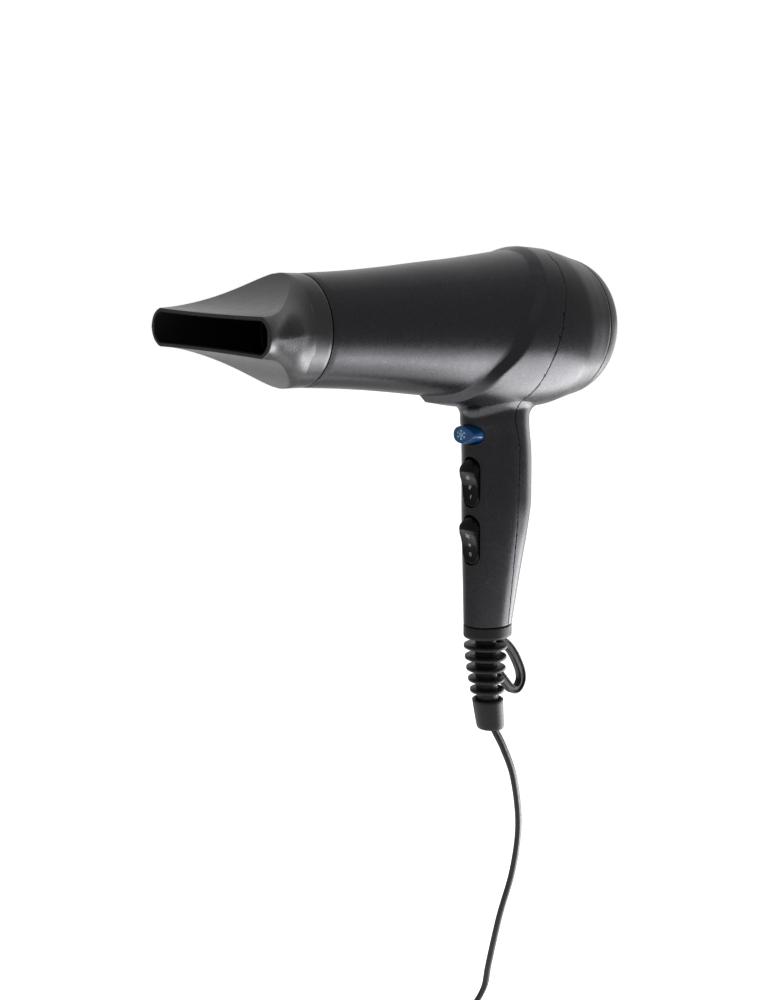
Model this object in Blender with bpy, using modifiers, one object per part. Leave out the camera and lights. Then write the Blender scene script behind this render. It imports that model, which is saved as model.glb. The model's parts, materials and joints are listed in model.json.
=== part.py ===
"""Hair dryer: barrel and pistol handle in two shells, with heater, motor, fan, switches and cord.

Metres, +Z up. The barrel lies along X, its nozzle towards -X, and the handle hangs below it.
The world origin is the middle of the hand grip. Everything hangs from the empty "dryer_frame",
which stands on the barrel's axis over the handle, so the sizes below are read from that axis.
"""
import math

import bmesh
import bpy
from mathutils import Matrix, Vector

# ---------------------------------------------------------------- driving dimensions
AXIS_HEIGHT = 0.100          # barrel axis above the middle of the grip
WALL = 0.0024                # shell wall
GAP = 0.0003                 # clearance between pieces that touch
RUNNING = 0.00006            # radial clearance of a turning fit
CUT_MARGIN = 0.002           # how far a cutter runs past the face that it opens

# barrel and rear housing: radius at places along the axis
OUTLET_X = -0.132
BARREL_PROFILE = [(OUTLET_X, 0.0260), (-0.107, 0.0276), (-0.082, 0.0300), (-0.057, 0.0329),
                  (-0.037, 0.0351), (-0.017, 0.0377), (0.003, 0.0403), (0.0463, 0.0430)]
HOUSING_PROFILE = [(OUTLET_X, 0.0290), (-0.060, 0.0353), (-0.047, 0.0375), (-0.0326, 0.0398),
                   (-0.017, 0.0414), (-0.004, 0.0423), (0.010, 0.0426), (0.024, 0.0421),
                   (0.034, 0.0404), (0.042, 0.0387), (0.0463, 0.0379)]
SHELL_END_X = 0.0463
HANDLE_BOTTOM = -0.1612
# where the barrel comes out of the housing's collar, by degrees round from the top
COLLAR_EDGE = [(0, 0.0020), (20, 0.0005), (37, -0.0038), (62, -0.0099), (90, -0.0216), (110, -0.0290),
               (125, -0.0352), (144, -0.0405), (160, -0.0450), (180, -0.0570)]
COLLAR_RAMP = 0.0058
BORE_STEP = (0.0000, 0.0120)  # where the bore widens from the barrel's to the housing's
SEAM_LINE = [(0.0245, 0.0445), (0.0225, 0.0412), (0.0155, 0.0370), (0.0134, 0.0320),
             (0.0100, 0.0210), (0.0040, 0.0072), (0.0002, -0.0074), (-0.0020, -0.0225),
             (-0.0024, -0.0310), (-0.0005, -0.0420), (0.0016, -0.0560),
             (0.0016, HANDLE_BOTTOM - 0.0108)]

# outlet neck and nozzle
NECK_LENGTH = 0.012
NECK_RADIUS = 0.0232
NECK_BORE = 0.0212
NOZZLE_LENGTH = 0.0497
NOZZLE_COLLAR = 0.0100       # round part behind the flare
SLOT_WIDTH = 0.0916
SLOT_HEIGHT = 0.0178
SLOT_WAIST = 0.07            # how much lower the slot is in its middle
FAN_SECTION = 0.0123         # half height that the fan would have at the mouth without its flats
NOZZLE_WALL = 0.0020
NOZZLE_ROUND = 32
SLOT_SHARES = [0.0, 0.18, 0.36, 0.54, 0.77, 1.0]   # how far along the flare its sections stand
OUTLET_RING = BARREL_PROFILE[0][1]
NOZZLE_TURN = math.radians(3)

# handle: height, front edge, rear edge; its side to side width is a share of fore and aft
HANDLE_SECTIONS = [(-0.0540, -0.0214, 0.0179), (-0.0620, -0.0210, 0.0190),
                   (-0.0720, -0.0207, 0.0196), (-0.0900, -0.0207, 0.0197),
                   (-0.1060, -0.0207, 0.0177), (-0.1250, -0.0207, 0.0139),
                   (-0.1400, -0.0206, 0.0110), (HANDLE_BOTTOM, -0.0206, 0.0071)]
HANDLE_FLARE = [(-0.0300, 0.0080), (-0.0402, 0.0080), (-0.0418, 0.0040), (-0.0445, 0.0014),
                (-0.0485, 0.0001)]
HANDLE_TOP = (-0.0222, 0.0174)   # front and rear edge where the flare starts
HANDLE_ASPECT = 0.86
END_RING_HEIGHT = 0.0058

# rear cover
COVER_LENGTH = 0.0112
COVER_LIP = 0.0040
COVER_RIM = 0.0300
GRILLE_THICKNESS = 0.0020
COVER_RINGS = [(0.0075, 0.0130), (0.0150, 0.0205), (0.0225, 0.0280)]
OUTLET_RINGS = [(0.0050, 0.0110), (0.0130, 0.0190)]
GRILLE_RIB = 0.0018

# motor and fan
MOTOR_RADIUS = 0.0140
MOTOR_FRONT_X = -0.0100
MOTOR_LENGTH = 0.0300
MOTOR_WALL = 0.0012
SHAFT_RADIUS = 0.00115
BUSH_RADIUS = 0.0030
MOUNT_FRONT_X = -0.0130
MOUNT_LENGTH = 0.0500
MOUNT_WALL = 0.0022
VANE_COUNT = 7
VANE_LENGTH = 0.0230
FAN_X = 0.0260
FAN_TIP = 0.0345
FAN_HUB = 0.0130
FAN_DEPTH = 0.0110
BLADE_COUNT = 9
BLADE_PITCH = math.radians(38)

# heater
HEATER_FRONT_X = -0.1270
HEATER_LENGTH = 0.0640
HEATER_SHEET = 0.0006
BOARD_THICKNESS = 0.0008
COIL_WIRE = 0.0010
COIL_TURNS = 7
GRILLE_BACK_X = -0.1370

# rockers, cool-shot button and switches
ROCKER_HEIGHTS = {"heat": -0.0803, "speed": -0.1112}
ROCKER_PIVOT_X = -0.0155
ROCKER_WIDTH = 0.0118
ROCKER_REACH = 0.0131
ROCKER_SLACK = 0.0005
ROCKER_TILT = math.radians(21)
BUTTON_HEIGHT_Z = -0.0550
BUTTON_WIDTH = 0.0180
BUTTON_HEIGHT = 0.0098
BUTTON_FRONT_X = -0.0252
BUTTON_FLANGE_X = -0.0150
BUTTON_FLANGE = 0.0012
BUTTON_SLACK = 0.0004
SWITCH_FRONT_X = -0.0095
SWITCH_DEPTH = 0.0075
BOARD_X = -0.0017
BOARD_SHEET = 0.0016
BOARD_TOP = -0.0520
BOARD_BOTTOM = -0.1290
BOARD_HALF_WIDTH = 0.0080
RECTIFIER_SIZE = (0.0040, 0.0090, 0.0120)
RECTIFIER_TOP = -0.0860
LEAD_THICKNESS = 0.0018
LEAD_SPACING = 0.0120
SPRING_WIRE = 0.0005
SPRING_RADIUS = 0.0028
SPRING_TURNS = 4

# screws
SCREW_SHANK = 0.0014
SCREW_HEAD = 0.0027
SCREW_HEAD_HEIGHT = 0.0018
SCREW_HEIGHTS = {"upper": -0.0450, "lower": -0.1400}
BOSS_RADIUS = 0.0034

# strain relief and cord
RELIEF_X = -0.0072
DISC_DIAMETERS = [0.0231, 0.0220, 0.0208, 0.0193, 0.0180]
DISC_TOP = -0.1696
DISC_PITCH = 0.0062
DISC_THICKNESS = 0.0026
RELIEF_CORE = 0.0048
CUFF_TOP = -0.2005
CUFF_BOTTOM = -0.2185
CUFF_TOP_RADIUS = 0.0086
CUFF_BOTTOM_RADIUS = 0.0075
CUFF_BORE = 0.0046
CUFF_BORE_DEPTH = 0.0060
CUFF_SHIFT = 0.0027          # how far the flexible relief leans by its end
NECK_OF_RELIEF = 0.0055
RELIEF_HEAD = 0.0070         # radius of the head that holds it in the end ring
RELIEF_HEAD_HEIGHT = 0.0022
RELIEF_SEAT = 0.0024         # thickness of the end ring's floor
CORD_WIDTH = 0.0056          # flat cord with two cores
CORD_THICKNESS = 0.0034
LEAN = Vector((0.753, -0.658, 0.0))   # level direction in which the cord leans and winds
THROUGH = Vector((-LEAN.y, LEAN.x, 0.0))   # and the one across it, through the coil
COIL_CENTRE_DROP = 0.430     # coil's centre below the barrel axis
COIL_INNER = 0.0200
COIL_LOOP_POINTS = 24
COIL_STEP = 0.0056           # from turn to turn
COIL_LAYER_STEP = 0.0066
COIL_LAYER_TURNS = 4
PLUG_LENGTH = 0.036


# ---------------------------------------------------------------- small tools
def make_collection(name):
    group = bpy.data.collections.new(name)
    bpy.context.scene.collection.children.link(group)
    return group


for old in list(bpy.data.objects):
    bpy.data.objects.remove(old, do_unlink=True)
PARTS = make_collection("hair_dryer")
CUTTERS = make_collection("cutters")
FRAME = bpy.data.objects.new("dryer_frame", None)
FRAME.location = (0, 0, AXIS_HEIGHT)
PARTS.objects.link(FRAME)


def material(name, colour, roughness, metallic=0.0):
    made = bpy.data.materials.new(name)
    made.use_nodes = True
    shader = made.node_tree.nodes["Principled BSDF"]
    shader.inputs["Base Color"].default_value = (*colour, 1.0)
    shader.inputs["Roughness"].default_value = roughness
    shader.inputs["Metallic"].default_value = metallic
    return made


def place(name, data, finish=None, parent=FRAME, at=(0, 0, 0), smooth=True):
    """A part when it has a finish, and a hidden cutter when it has none."""
    made = bpy.data.objects.new(name, data)
    made.parent = parent
    made.location = at
    if finish is None:
        CUTTERS.objects.link(made)
        made.hide_render = True
        made.display_type = "WIRE"
        return made
    PARTS.objects.link(made)
    data.materials.append(material(name, *finish))
    if smooth and isinstance(data, bpy.types.Mesh):
        data.shade_smooth()
        data.set_sharp_from_angle(angle=math.radians(35))
    return made


def mesh_from(bm, name):
    data = bpy.data.meshes.new(name)
    bm.to_mesh(data)
    bm.free()
    return data


def pivot(name, at):
    empty = bpy.data.objects.new(name, None)
    empty.parent = FRAME
    empty.location = at
    PARTS.objects.link(empty)
    return empty


def block(name, low, high, finish=None, bevel=0.0, **where):
    bm = bmesh.new()
    bmesh.ops.create_cube(bm, size=1.0)
    size = [h - l for l, h in zip(low, high)]
    middle = [(h + l) / 2 for l, h in zip(low, high)]
    bmesh.ops.scale(bm, vec=size, verts=bm.verts)
    bmesh.ops.translate(bm, vec=middle, verts=bm.verts)
    if bevel:
        bmesh.ops.bevel(bm, geom=bm.edges[:], offset=bevel, segments=1, affect="EDGES")
    return place(name, mesh_from(bm, name), finish, **where)


def rod(name, radius, start, end, finish=None, sides=24, end_radius=None, **where):
    """A cylinder or cone from one point to another."""
    start, end = Vector(start), Vector(end)
    bm = bmesh.new()
    bmesh.ops.create_cone(bm, cap_ends=True, segments=sides, radius1=radius,
                          radius2=radius if end_radius is None else end_radius,
                          depth=(end - start).length)
    turn = (end - start).to_track_quat("Z", "Y").to_matrix().to_4x4()
    bmesh.ops.transform(bm, matrix=Matrix.Translation((start + end) / 2) @ turn, verts=bm.verts)
    return place(name, mesh_from(bm, name), finish, **where)


def turned(name, profile, finish=None, steps=48, closed=True, axis="X", **where):
    """A Screw of (radius, place along the axis) points that run down the outer side."""
    bm = bmesh.new()
    points = [bm.verts.new((radius, 0, -along)) for radius, along in profile]
    pairs = list(zip(points, points[1:] + points[:1])) if closed else list(zip(points, points[1:]))
    for a, b in pairs:
        bm.edges.new((a, b))
    made = place(name, mesh_from(bm, name), finish, smooth=False, **where)
    made.rotation_euler = (0, -math.pi / 2, 0) if axis == "X" else (math.pi, 0, 0)
    screw = made.modifiers.new("turn", "SCREW")
    screw.steps = screw.render_steps = steps
    screw.use_merge_vertices = True
    screw.merge_threshold = 1e-5
    screw.use_smooth_shade = False
    return made


def loft(name, rings, finish=None, **where):
    """Quads between rings that have the same number of points, with both ends closed."""
    bm = bmesh.new()
    rows = [[bm.verts.new(point) for point in ring] for ring in rings]
    count = len(rows[0])
    for low, high in zip(rows, rows[1:]):
        for i in range(count):
            j = (i + 1) % count
            bm.faces.new((low[i], low[j], high[j], high[i]))
    bm.faces.new(rows[0][::-1])
    bm.faces.new(rows[-1])
    bmesh.ops.recalc_face_normals(bm, faces=bm.faces)
    return place(name, mesh_from(bm, name), finish, **where)


def plate(name, outline, low, high, axis, finish=None, **where):
    """A flat outline, given in the plane across an axis, between two heights on that axis."""
    turns = {"X": Matrix(((0, 0, 1), (1, 0, 0), (0, 1, 0))),
             "Y": Matrix(((1, 0, 0), (0, 0, -1), (0, 1, 0))),
             "Z": Matrix.Identity(3)}
    curve = bpy.data.curves.new(name + "_outline", "CURVE")
    curve.dimensions = "2D"
    curve.fill_mode = "BOTH"
    curve.extrude = (high - low) / 2
    line = curve.splines.new("POLY")
    line.points.add(len(outline) - 1)
    line.use_cyclic_u = True
    for point, place_of in zip(line.points, outline):
        point.co = (*place_of, 0, 1)
    guide = bpy.data.objects.new(name + "_outline", curve)
    CUTTERS.objects.link(guide)
    bpy.context.view_layer.update()
    data = bpy.data.meshes.new_from_object(guide.evaluated_get(bpy.context.evaluated_depsgraph_get()))
    bpy.data.objects.remove(guide, do_unlink=True)
    bm = bmesh.new()
    bm.from_mesh(data)
    bmesh.ops.remove_doubles(bm, verts=bm.verts, dist=1e-6)
    middle = (high + low) / 2
    move = turns[axis].to_4x4() @ Matrix.Translation((0, 0, middle if axis != "Y" else -middle))
    bmesh.ops.transform(bm, matrix=move, verts=bm.verts)
    bmesh.ops.recalc_face_normals(bm, faces=bm.faces)
    bpy.data.meshes.remove(data)
    return place(name, mesh_from(bm, name), finish, **where)


def tube(name, points, diameter, finish, resolution=2, **where):
    """A wire along points, on a POLY spline with filled ends."""
    curve = bpy.data.curves.new(name, "CURVE")
    curve.dimensions = "3D"
    curve.bevel_depth = diameter / 2
    curve.bevel_resolution = resolution
    curve.use_fill_caps = True
    line = curve.splines.new("POLY")
    line.points.add(len(points) - 1)
    for point, place_of in zip(line.points, points):
        point.co = (*place_of, 1)
    return place(name, curve, finish, **where)


def boolean(target, tool, operation):
    step = target.modifiers.new(operation.lower(), "BOOLEAN")
    step.operation = operation
    step.object = tool
    return target


def cut(target, *tools):
    for tool in tools:
        boolean(target, tool, "DIFFERENCE")
    return target


def join(target, *tools):
    for tool in tools:
        boolean(target, tool, "UNION")
    return target


def keep(target, tool):
    return boolean(target, tool, "INTERSECT")


def smooth_step(value):
    value = min(max(value, 0.0), 1.0)
    return value * value * (3 - 2 * value)


def along(table, place_of):
    """Straight interpolation in a table of (place, value) that rises or falls steadily."""
    rows = sorted(table)
    if place_of <= rows[0][0]:
        return rows[0][1]
    for (a, low), (b, high) in zip(rows, rows[1:]):
        if place_of <= b:
            return low + (high - low) * (place_of - a) / (b - a)
    return rows[-1][1]


def smooth_path(route, spacing):
    """Points about a spacing apart on a Catmull-Rom curve through the route."""
    route = [Vector(point) for point in route]
    padded = [2 * route[0] - route[1], *route, 2 * route[-1] - route[-2]]
    points = [route[0]]
    for before, a, b, after in zip(padded, padded[1:], padded[2:], padded[3:]):
        steps = max(1, round((b - a).length / spacing))
        for i in range(1, steps + 1):
            t = i / steps
            points.append(0.5 * (2 * a + (b - before) * t + (2 * before - 5 * a + 4 * b - after) * t ** 2
                                 + (3 * a - before - 3 * b + after) * t ** 3))
    return points


def circle(radius, count, x, z=0.0):
    angles = [2 * math.pi * i / count for i in range(count)]
    return [(x, radius * math.sin(a), z + radius * math.cos(a)) for a in angles]


# ---------------------------------------------------------------- finishes: colour, roughness, metallic
CHARCOAL = ((0.060, 0.060, 0.066), 0.38, 0.55)
SATIN_GREY = ((0.085, 0.085, 0.092), 0.30, 0.60)
RIM_GREY = ((0.20, 0.20, 0.21), 0.35, 0.60)
SOFT_BLACK = ((0.018, 0.018, 0.019), 0.55)
GLOSS_BLACK = ((0.012, 0.012, 0.013), 0.12)
BLUE = ((0.010, 0.060, 0.220), 0.15)
RUBBER = ((0.020, 0.020, 0.021), 0.60)
STEEL = ((0.55, 0.56, 0.58), 0.30, 1.0)
BRASS = ((0.72, 0.55, 0.25), 0.30, 1.0)
MICA = ((0.62, 0.55, 0.42), 0.55)
WIRE = ((0.50, 0.47, 0.45), 0.35, 1.0)
BOARD_GREEN = ((0.05, 0.22, 0.10), 0.45)
PALE_PLASTIC = ((0.72, 0.71, 0.68), 0.45)
RED = ((0.45, 0.03, 0.02), 0.40)
NAVY = ((0.03, 0.05, 0.25), 0.40)
MAGNET = ((0.10, 0.10, 0.11), 0.60)


# ---------------------------------------------------------------- shells
ROUND = 32
HANDLE_ROUND = 24


def collar_start(angle):
    """Where the collar starts, at an angle from the top: it sweeps forward underneath."""
    return along(COLLAR_EDGE, math.degrees(angle))


def body_radius(x, angle):
    raised = smooth_step((x - collar_start(angle)) / COLLAR_RAMP)
    low, high = along(BARREL_PROFILE, x), along(HOUSING_PROFILE, x)
    return low + (high - low) * raised


def inner_radius(x):
    """The barrel's bore, one wall inside the barrel and then inside the housing."""
    front, rear = BORE_STEP
    low = along(BARREL_PROFILE, x) - WALL
    high = along(HOUSING_PROFILE, x) - WALL
    return low + (high - low) * smooth_step((x - front) / (rear - front))


def body_ring(place_of):
    """A ring whose points may each lie at their own place along the axis."""
    ring = []
    for i in range(ROUND):
        angle = 2 * math.pi * i / ROUND
        turn = min(angle, 2 * math.pi - angle)
        x = place_of(collar_start(turn))
        radius = body_radius(x, turn)
        ring.append((x, radius * math.sin(angle), radius * math.cos(angle)))
    return ring


def body_rings():
    """Straight rings in front and behind, and rings that follow the collar's edge between them."""
    before, after = -0.0605, 0.0100
    rings = [body_ring(lambda start, x=x: x) for x in (OUTLET_X, -0.107, -0.082, before)]
    rings.append(body_ring(lambda start: (before + start) / 2))
    for share in (0.0, 0.5, 1.0):
        rings.append(body_ring(lambda start, share=share: start + share * COLLAR_RAMP))
    rings.append(body_ring(lambda start: (start + COLLAR_RAMP + after) / 2))
    rings += [body_ring(lambda start, x=x: x) for x in (after, 0.024, 0.034, 0.042, SHELL_END_X)]
    return rings


def handle_ring(height, front, rear, saddle=0.0, inset=0.0):
    """An oval section; a saddle share lifts its sides to follow the round housing."""
    ring = []
    reach = (rear - front) / 2 - inset
    side = HANDLE_ASPECT * (rear - front) / 2 - inset
    radius = along(HOUSING_PROFILE, 0.0)
    for i in range(HANDLE_ROUND):
        angle = 2 * math.pi * i / HANDLE_ROUND
        y = side * math.sin(angle)
        lift = saddle * (radius - math.sqrt(radius ** 2 - y ** 2))
        ring.append(((front + rear) / 2 + reach * math.cos(angle), y, height + lift))
    return ring


def handle_rings(inset=0.0, below=0.0):
    front, rear = HANDLE_TOP
    rings = []
    for height, flare in HANDLE_FLARE:
        spread = flare if not inset else 0.0
        rings.append(handle_ring(height, front - spread, rear + spread, 0.0 if inset else 1.0, inset))
    rings += [handle_ring(*row, inset=inset) for row in HANDLE_SECTIONS]
    if below:
        rings.append(handle_ring(HANDLE_BOTTOM - below, *HANDLE_SECTIONS[-1][1:], inset=inset))
    return rings


def region(name, forward):
    """The space in front of the seam, or behind it, as an extruded outline."""
    side = -1 if forward else 1
    edge = [(x + side * GAP / 2, z) for x, z in SEAM_LINE]
    far = OUTLET_X - NECK_LENGTH - 0.02 if forward else SHELL_END_X + 0.02
    top, bottom = 0.07, HANDLE_BOTTOM - 0.01
    edge[0] = (edge[0][0], top)
    edge[-1] = (edge[-1][0], bottom)
    return plate(name, [*edge, (far, bottom), (far, top)], -0.08, 0.08, "Y")


def stadium(width, height, count=8):
    """A racetrack outline with round ends at top and bottom."""
    radius, reach = width / 2, height / 2 - width / 2
    ends = []
    for centre, start in ((reach, 0.0), (-reach, math.pi)):
        for i in range(count + 1):
            angle = start + math.pi * i / count
            ends.append((radius * math.cos(angle), centre + radius * math.sin(angle)))
    return ends


def oval(width, height, count=20):
    """A full oval, between an ellipse and a rounded rectangle."""
    points = []
    for i in range(count):
        c, s = math.cos(2 * math.pi * i / count), math.sin(2 * math.pi * i / count)
        points.append((width / 2 * math.copysign(abs(c) ** 0.8, c),
                       height / 2 * math.copysign(abs(s) ** 0.8, s)))
    return points


def raised(outline, height):
    return [(a, b + height) for a, b in outline]


def shell(name, forward, finish):
    """Barrel, housing and handle, hollowed, and cut at the seam."""
    made = loft(name, body_rings(), finish)
    join(made, loft(name + "_handle", handle_rings()))
    neck_end = OUTLET_X - NECK_LENGTH
    join(made, rod(name + "_neck", NECK_RADIUS, (neck_end, 0, 0), (OUTLET_X + WALL, 0, 0), sides=ROUND))
    stations = [OUTLET_X + WALL, -0.082, -0.037, *BORE_STEP, 0.024, 0.034, 0.042, SHELL_END_X]
    bore = [circle(inner_radius(x), ROUND, x) for x in stations]
    bore += [circle(inner_radius(SHELL_END_X), ROUND, SHELL_END_X + CUT_MARGIN)]
    cut(made, loft(name + "_bore", bore),
        rod(name + "_neck_bore", NECK_BORE, (neck_end - CUT_MARGIN, 0, 0),
            (OUTLET_X + 2 * WALL, 0, 0), sides=ROUND),
        loft(name + "_grip_bore", handle_rings(inset=WALL, below=CUT_MARGIN)))
    keep(made, region(name + "_region", forward))
    return made


def screw_boss(made, name, height, forward):
    """A post for a handle screw: blind in the front shell, with a head pocket in the rear one."""
    seam = SEAM_LINE[-1][0]
    front = along([(z, f) for z, f, _ in HANDLE_SECTIONS], height)
    rear = along([(z, r) for z, _, r in HANDLE_SECTIONS], height)
    bore = SCREW_SHANK + GAP
    wall = WALL / 2
    if forward:
        join(made, rod(name + "_boss", BOSS_RADIUS, (front + wall, 0, height),
                       (seam - 2 * GAP - 0.0030, 0, height)))
        cut(made, rod(name + "_pilot", bore, (front + 2 * WALL, 0, height), (seam, 0, height), sides=16))
    else:
        join(made, rod(name + "_boss", BOSS_RADIUS, (seam + 0.0030, 0, height),
                       (rear - wall, 0, height)))
        floor, pocket = rear - 2 * WALL, SCREW_HEAD + GAP
        rows = [(bore, seam), (bore, floor), (pocket, floor), (pocket, rear + CUT_MARGIN)]
        cut(made, loft(name + "_hole", [circle(radius, 20, x, height) for radius, x in rows]))


def make_shells():
    front = shell("front_shell", True, CHARCOAL)
    rear = shell("rear_shell", False, CHARCOAL)
    for name, height in SCREW_HEIGHTS.items():
        screw_boss(front, f"front_{name}", height, True)
        screw_boss(rear, f"rear_{name}", height, False)
    outer, inner = -0.030, ROCKER_PIVOT_X + 0.001
    for name, height in ROCKER_HEIGHTS.items():
        slack = 2 * ROCKER_SLACK
        hole = stadium(ROCKER_WIDTH + slack, 2 * ROCKER_REACH + slack)
        cut(front, plate(name + "_rocker_hole", raised(hole, height), outer, inner, "X"))
    slack = 2 * BUTTON_SLACK
    hole = oval(BUTTON_WIDTH + slack, BUTTON_HEIGHT + slack)
    cut(front, plate("cool_shot_hole", raised(hole, BUTTON_HEIGHT_Z), outer,
                     BUTTON_FLANGE_X + GAP, "X"))


def make_handle_screws():
    for name, height in SCREW_HEIGHTS.items():
        front = along([(z, f) for z, f, _ in HANDLE_SECTIONS], height)
        rear = along([(z, r) for z, _, r in HANDLE_SECTIONS], height)
        seat = rear - 2 * WALL + GAP
        tip = front + 2 * WALL + 0.004
        screw = rod(f"handle_screw_{name}", SCREW_SHANK, (tip, 0, height), (seat + 0.0005, 0, height),
                    STEEL, sides=16)
        join(screw, rod(f"handle_screw_{name}_head", SCREW_HEAD, (seat, 0, height),
                        (seat + SCREW_HEAD_HEIGHT, 0, height), sides=16))
        cut(screw, block(f"handle_screw_{name}_slot_a",
                         (seat + SCREW_HEAD_HEIGHT / 2, -SCREW_HEAD / 2, height - GAP),
                         (seat + 2 * SCREW_HEAD_HEIGHT, SCREW_HEAD / 2, height + GAP)),
            block(f"handle_screw_{name}_slot_b",
                  (seat + SCREW_HEAD_HEIGHT / 2, -GAP, height - SCREW_HEAD / 2),
                  (seat + 2 * SCREW_HEAD_HEIGHT, GAP, height + SCREW_HEAD / 2)))


# ---------------------------------------------------------------- nozzle, grilles and rear cover
def nozzle_ring(x, share, inset):
    """A round collar (share 0) that fans out sideways and is cut flat above and below (share 1)."""
    spread = ((share + smooth_step(share)) / 2) ** 1.25
    fan_width = OUTLET_RING + (SLOT_WIDTH / 2 - OUTLET_RING) * spread - inset
    fan_height = OUTLET_RING - (OUTLET_RING - FAN_SECTION) * share ** 1.3 - inset
    flat_height = SLOT_HEIGHT / 2 + (OUTLET_RING - SLOT_HEIGHT / 2) * (1 - share) ** 1.85 - inset
    power = 2 / (2 + share)
    turn_c, turn_s = math.cos(NOZZLE_TURN), math.sin(NOZZLE_TURN)
    ring = []
    for i in range(NOZZLE_ROUND):
        angle = 2 * math.pi * i / NOZZLE_ROUND
        c, s = math.cos(angle), math.sin(angle)
        y = fan_width * math.copysign(abs(c) ** power, c)
        z = fan_height * math.copysign(abs(s) ** power, s)
        waist = 1 - SLOT_WAIST * share * (1 - (y / fan_width) ** 2)
        if share > 0:
            z = math.copysign(min(abs(z), flat_height * waist), z)
        ring.append((x, turn_c * y - turn_s * z, turn_s * y + turn_c * z))
    return ring


def make_nozzle():
    """A flat concentrator: its collar pushes over the outlet neck and turns on it."""
    back = OUTLET_X - GAP
    flare_start = back - NOZZLE_COLLAR
    mouth = back - NOZZLE_LENGTH
    outside = [nozzle_ring(back, 0, 0)]
    outside += [nozzle_ring(flare_start + (mouth - flare_start) * t, t, 0) for t in SLOT_SHARES]
    made = loft("concentrator_nozzle", outside, SATIN_GREY)
    inside_start = OUTLET_X - NECK_LENGTH - GAP
    step = OUTLET_RING - NECK_BORE
    inside = [nozzle_ring(inside_start, 0, step)]
    for t in SLOT_SHARES[2:]:
        inset = NOZZLE_WALL + (step - NOZZLE_WALL) * (1 - smooth_step(t)) * 0.8
        inside.append(nozzle_ring(flare_start + (mouth - flare_start) * t, t, inset))
    inside.append(nozzle_ring(mouth - CUT_MARGIN, 1, NOZZLE_WALL))
    cut(made, loft("nozzle_inside", inside),
        rod("nozzle_socket", NECK_RADIUS + GAP, (back + CUT_MARGIN, 0, 0), (inside_start, 0, 0),
            sides=ROUND))


def grille_slots(name, rings, count, low, high):
    """One cutter that holds a ring of arc slots for each pair of radii."""
    bm = bmesh.new()
    pieces = 2
    spare = GRILLE_RIB / 2
    for inner, outer in rings:
        for k in range(count):
            middle = 2 * math.pi * k / count
            corner = []
            for radius, order in ((inner, 1), (outer, -1)):
                half = math.pi / count - math.asin(spare / radius)
                steps = [middle + order * half * (2 * i / pieces - 1) for i in range(pieces + 1)]
                corner += [(radius * math.sin(a), radius * math.cos(a)) for a in steps]
            front = [bm.verts.new((low, y, z)) for y, z in corner]
            back = [bm.verts.new((high, y, z)) for y, z in corner]
            bm.faces.new(front)
            bm.faces.new(back[::-1])
            for i in range(len(corner)):
                j = (i + 1) % len(corner)
                bm.faces.new((front[i], back[i], back[j], front[j]))
    bmesh.ops.recalc_face_normals(bm, faces=bm.faces)
    return place(name, mesh_from(bm, name))


def make_outlet_grille():
    back = GRILLE_BACK_X
    front = back - GRILLE_THICKNESS
    made = rod("outlet_grille", NECK_BORE - GAP, (front, 0, 0), (back, 0, 0), SOFT_BLACK, sides=ROUND)
    cut(made, grille_slots("outlet_slots", OUTLET_RINGS, 6, front - CUT_MARGIN, back + CUT_MARGIN))


def make_inlet_cover():
    """A domed rim with a slotted back, held in the housing by its lip."""
    start = SHELL_END_X + GAP
    end = start + COVER_LENGTH
    outer = along(HOUSING_PROFILE, SHELL_END_X)
    lip = inner_radius(SHELL_END_X) - GAP
    bore = lip - 0.0020
    profile = [(lip, start - COVER_LIP), (lip, start), (outer, start), (outer - 0.0008, start + 0.0035),
               (outer - 0.0026, start + 0.0078), (outer - 0.0052, start + 0.0105),
               (COVER_RIM + 0.0012, end), (COVER_RIM, end), (COVER_RIM - 0.0006, end - 0.0008),
               (0, end - 0.0008), (0, end - 0.0008 - GRILLE_THICKNESS),
               (bore, end - 0.0008 - GRILLE_THICKNESS), (bore, start - COVER_LIP)]
    made = turned("inlet_cover", profile, RIM_GREY, steps=24)
    cut(made, grille_slots("inlet_slots", COVER_RINGS, 6, end - 2 * GRILLE_THICKNESS,
                           end + CUT_MARGIN))


def make_lint_filter():
    """A flat screen in a ring, just inside the rear cover."""
    back = SHELL_END_X + GAP + COVER_LENGTH - 0.0008 - GRILLE_THICKNESS - GAP
    front = back - 0.0012
    rim = inner_radius(SHELL_END_X) - GAP - 0.0020 - GAP
    made = rod("lint_filter", rim, (front, 0, 0), (back, 0, 0), STEEL, sides=ROUND)
    bm = bmesh.new()
    pitch, bar = 0.0120, 0.0010
    reach = 2
    for i in range(-reach, reach + 1):
        for j in range(-reach, reach + 1):
            y, z = i * pitch, j * pitch
            if math.hypot(abs(y) + pitch / 2, abs(z) + pitch / 2) > rim - 0.0012:
                continue
            made_cube = bmesh.ops.create_cube(bm, size=1.0)["verts"]
            bmesh.ops.scale(bm, vec=(0.006, pitch - bar, pitch - bar), verts=made_cube)
            bmesh.ops.translate(bm, vec=((front + back) / 2, y, z), verts=made_cube)
    cut(made, place("lint_filter_gaps", mesh_from(bm, "lint_filter_gaps")))


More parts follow.
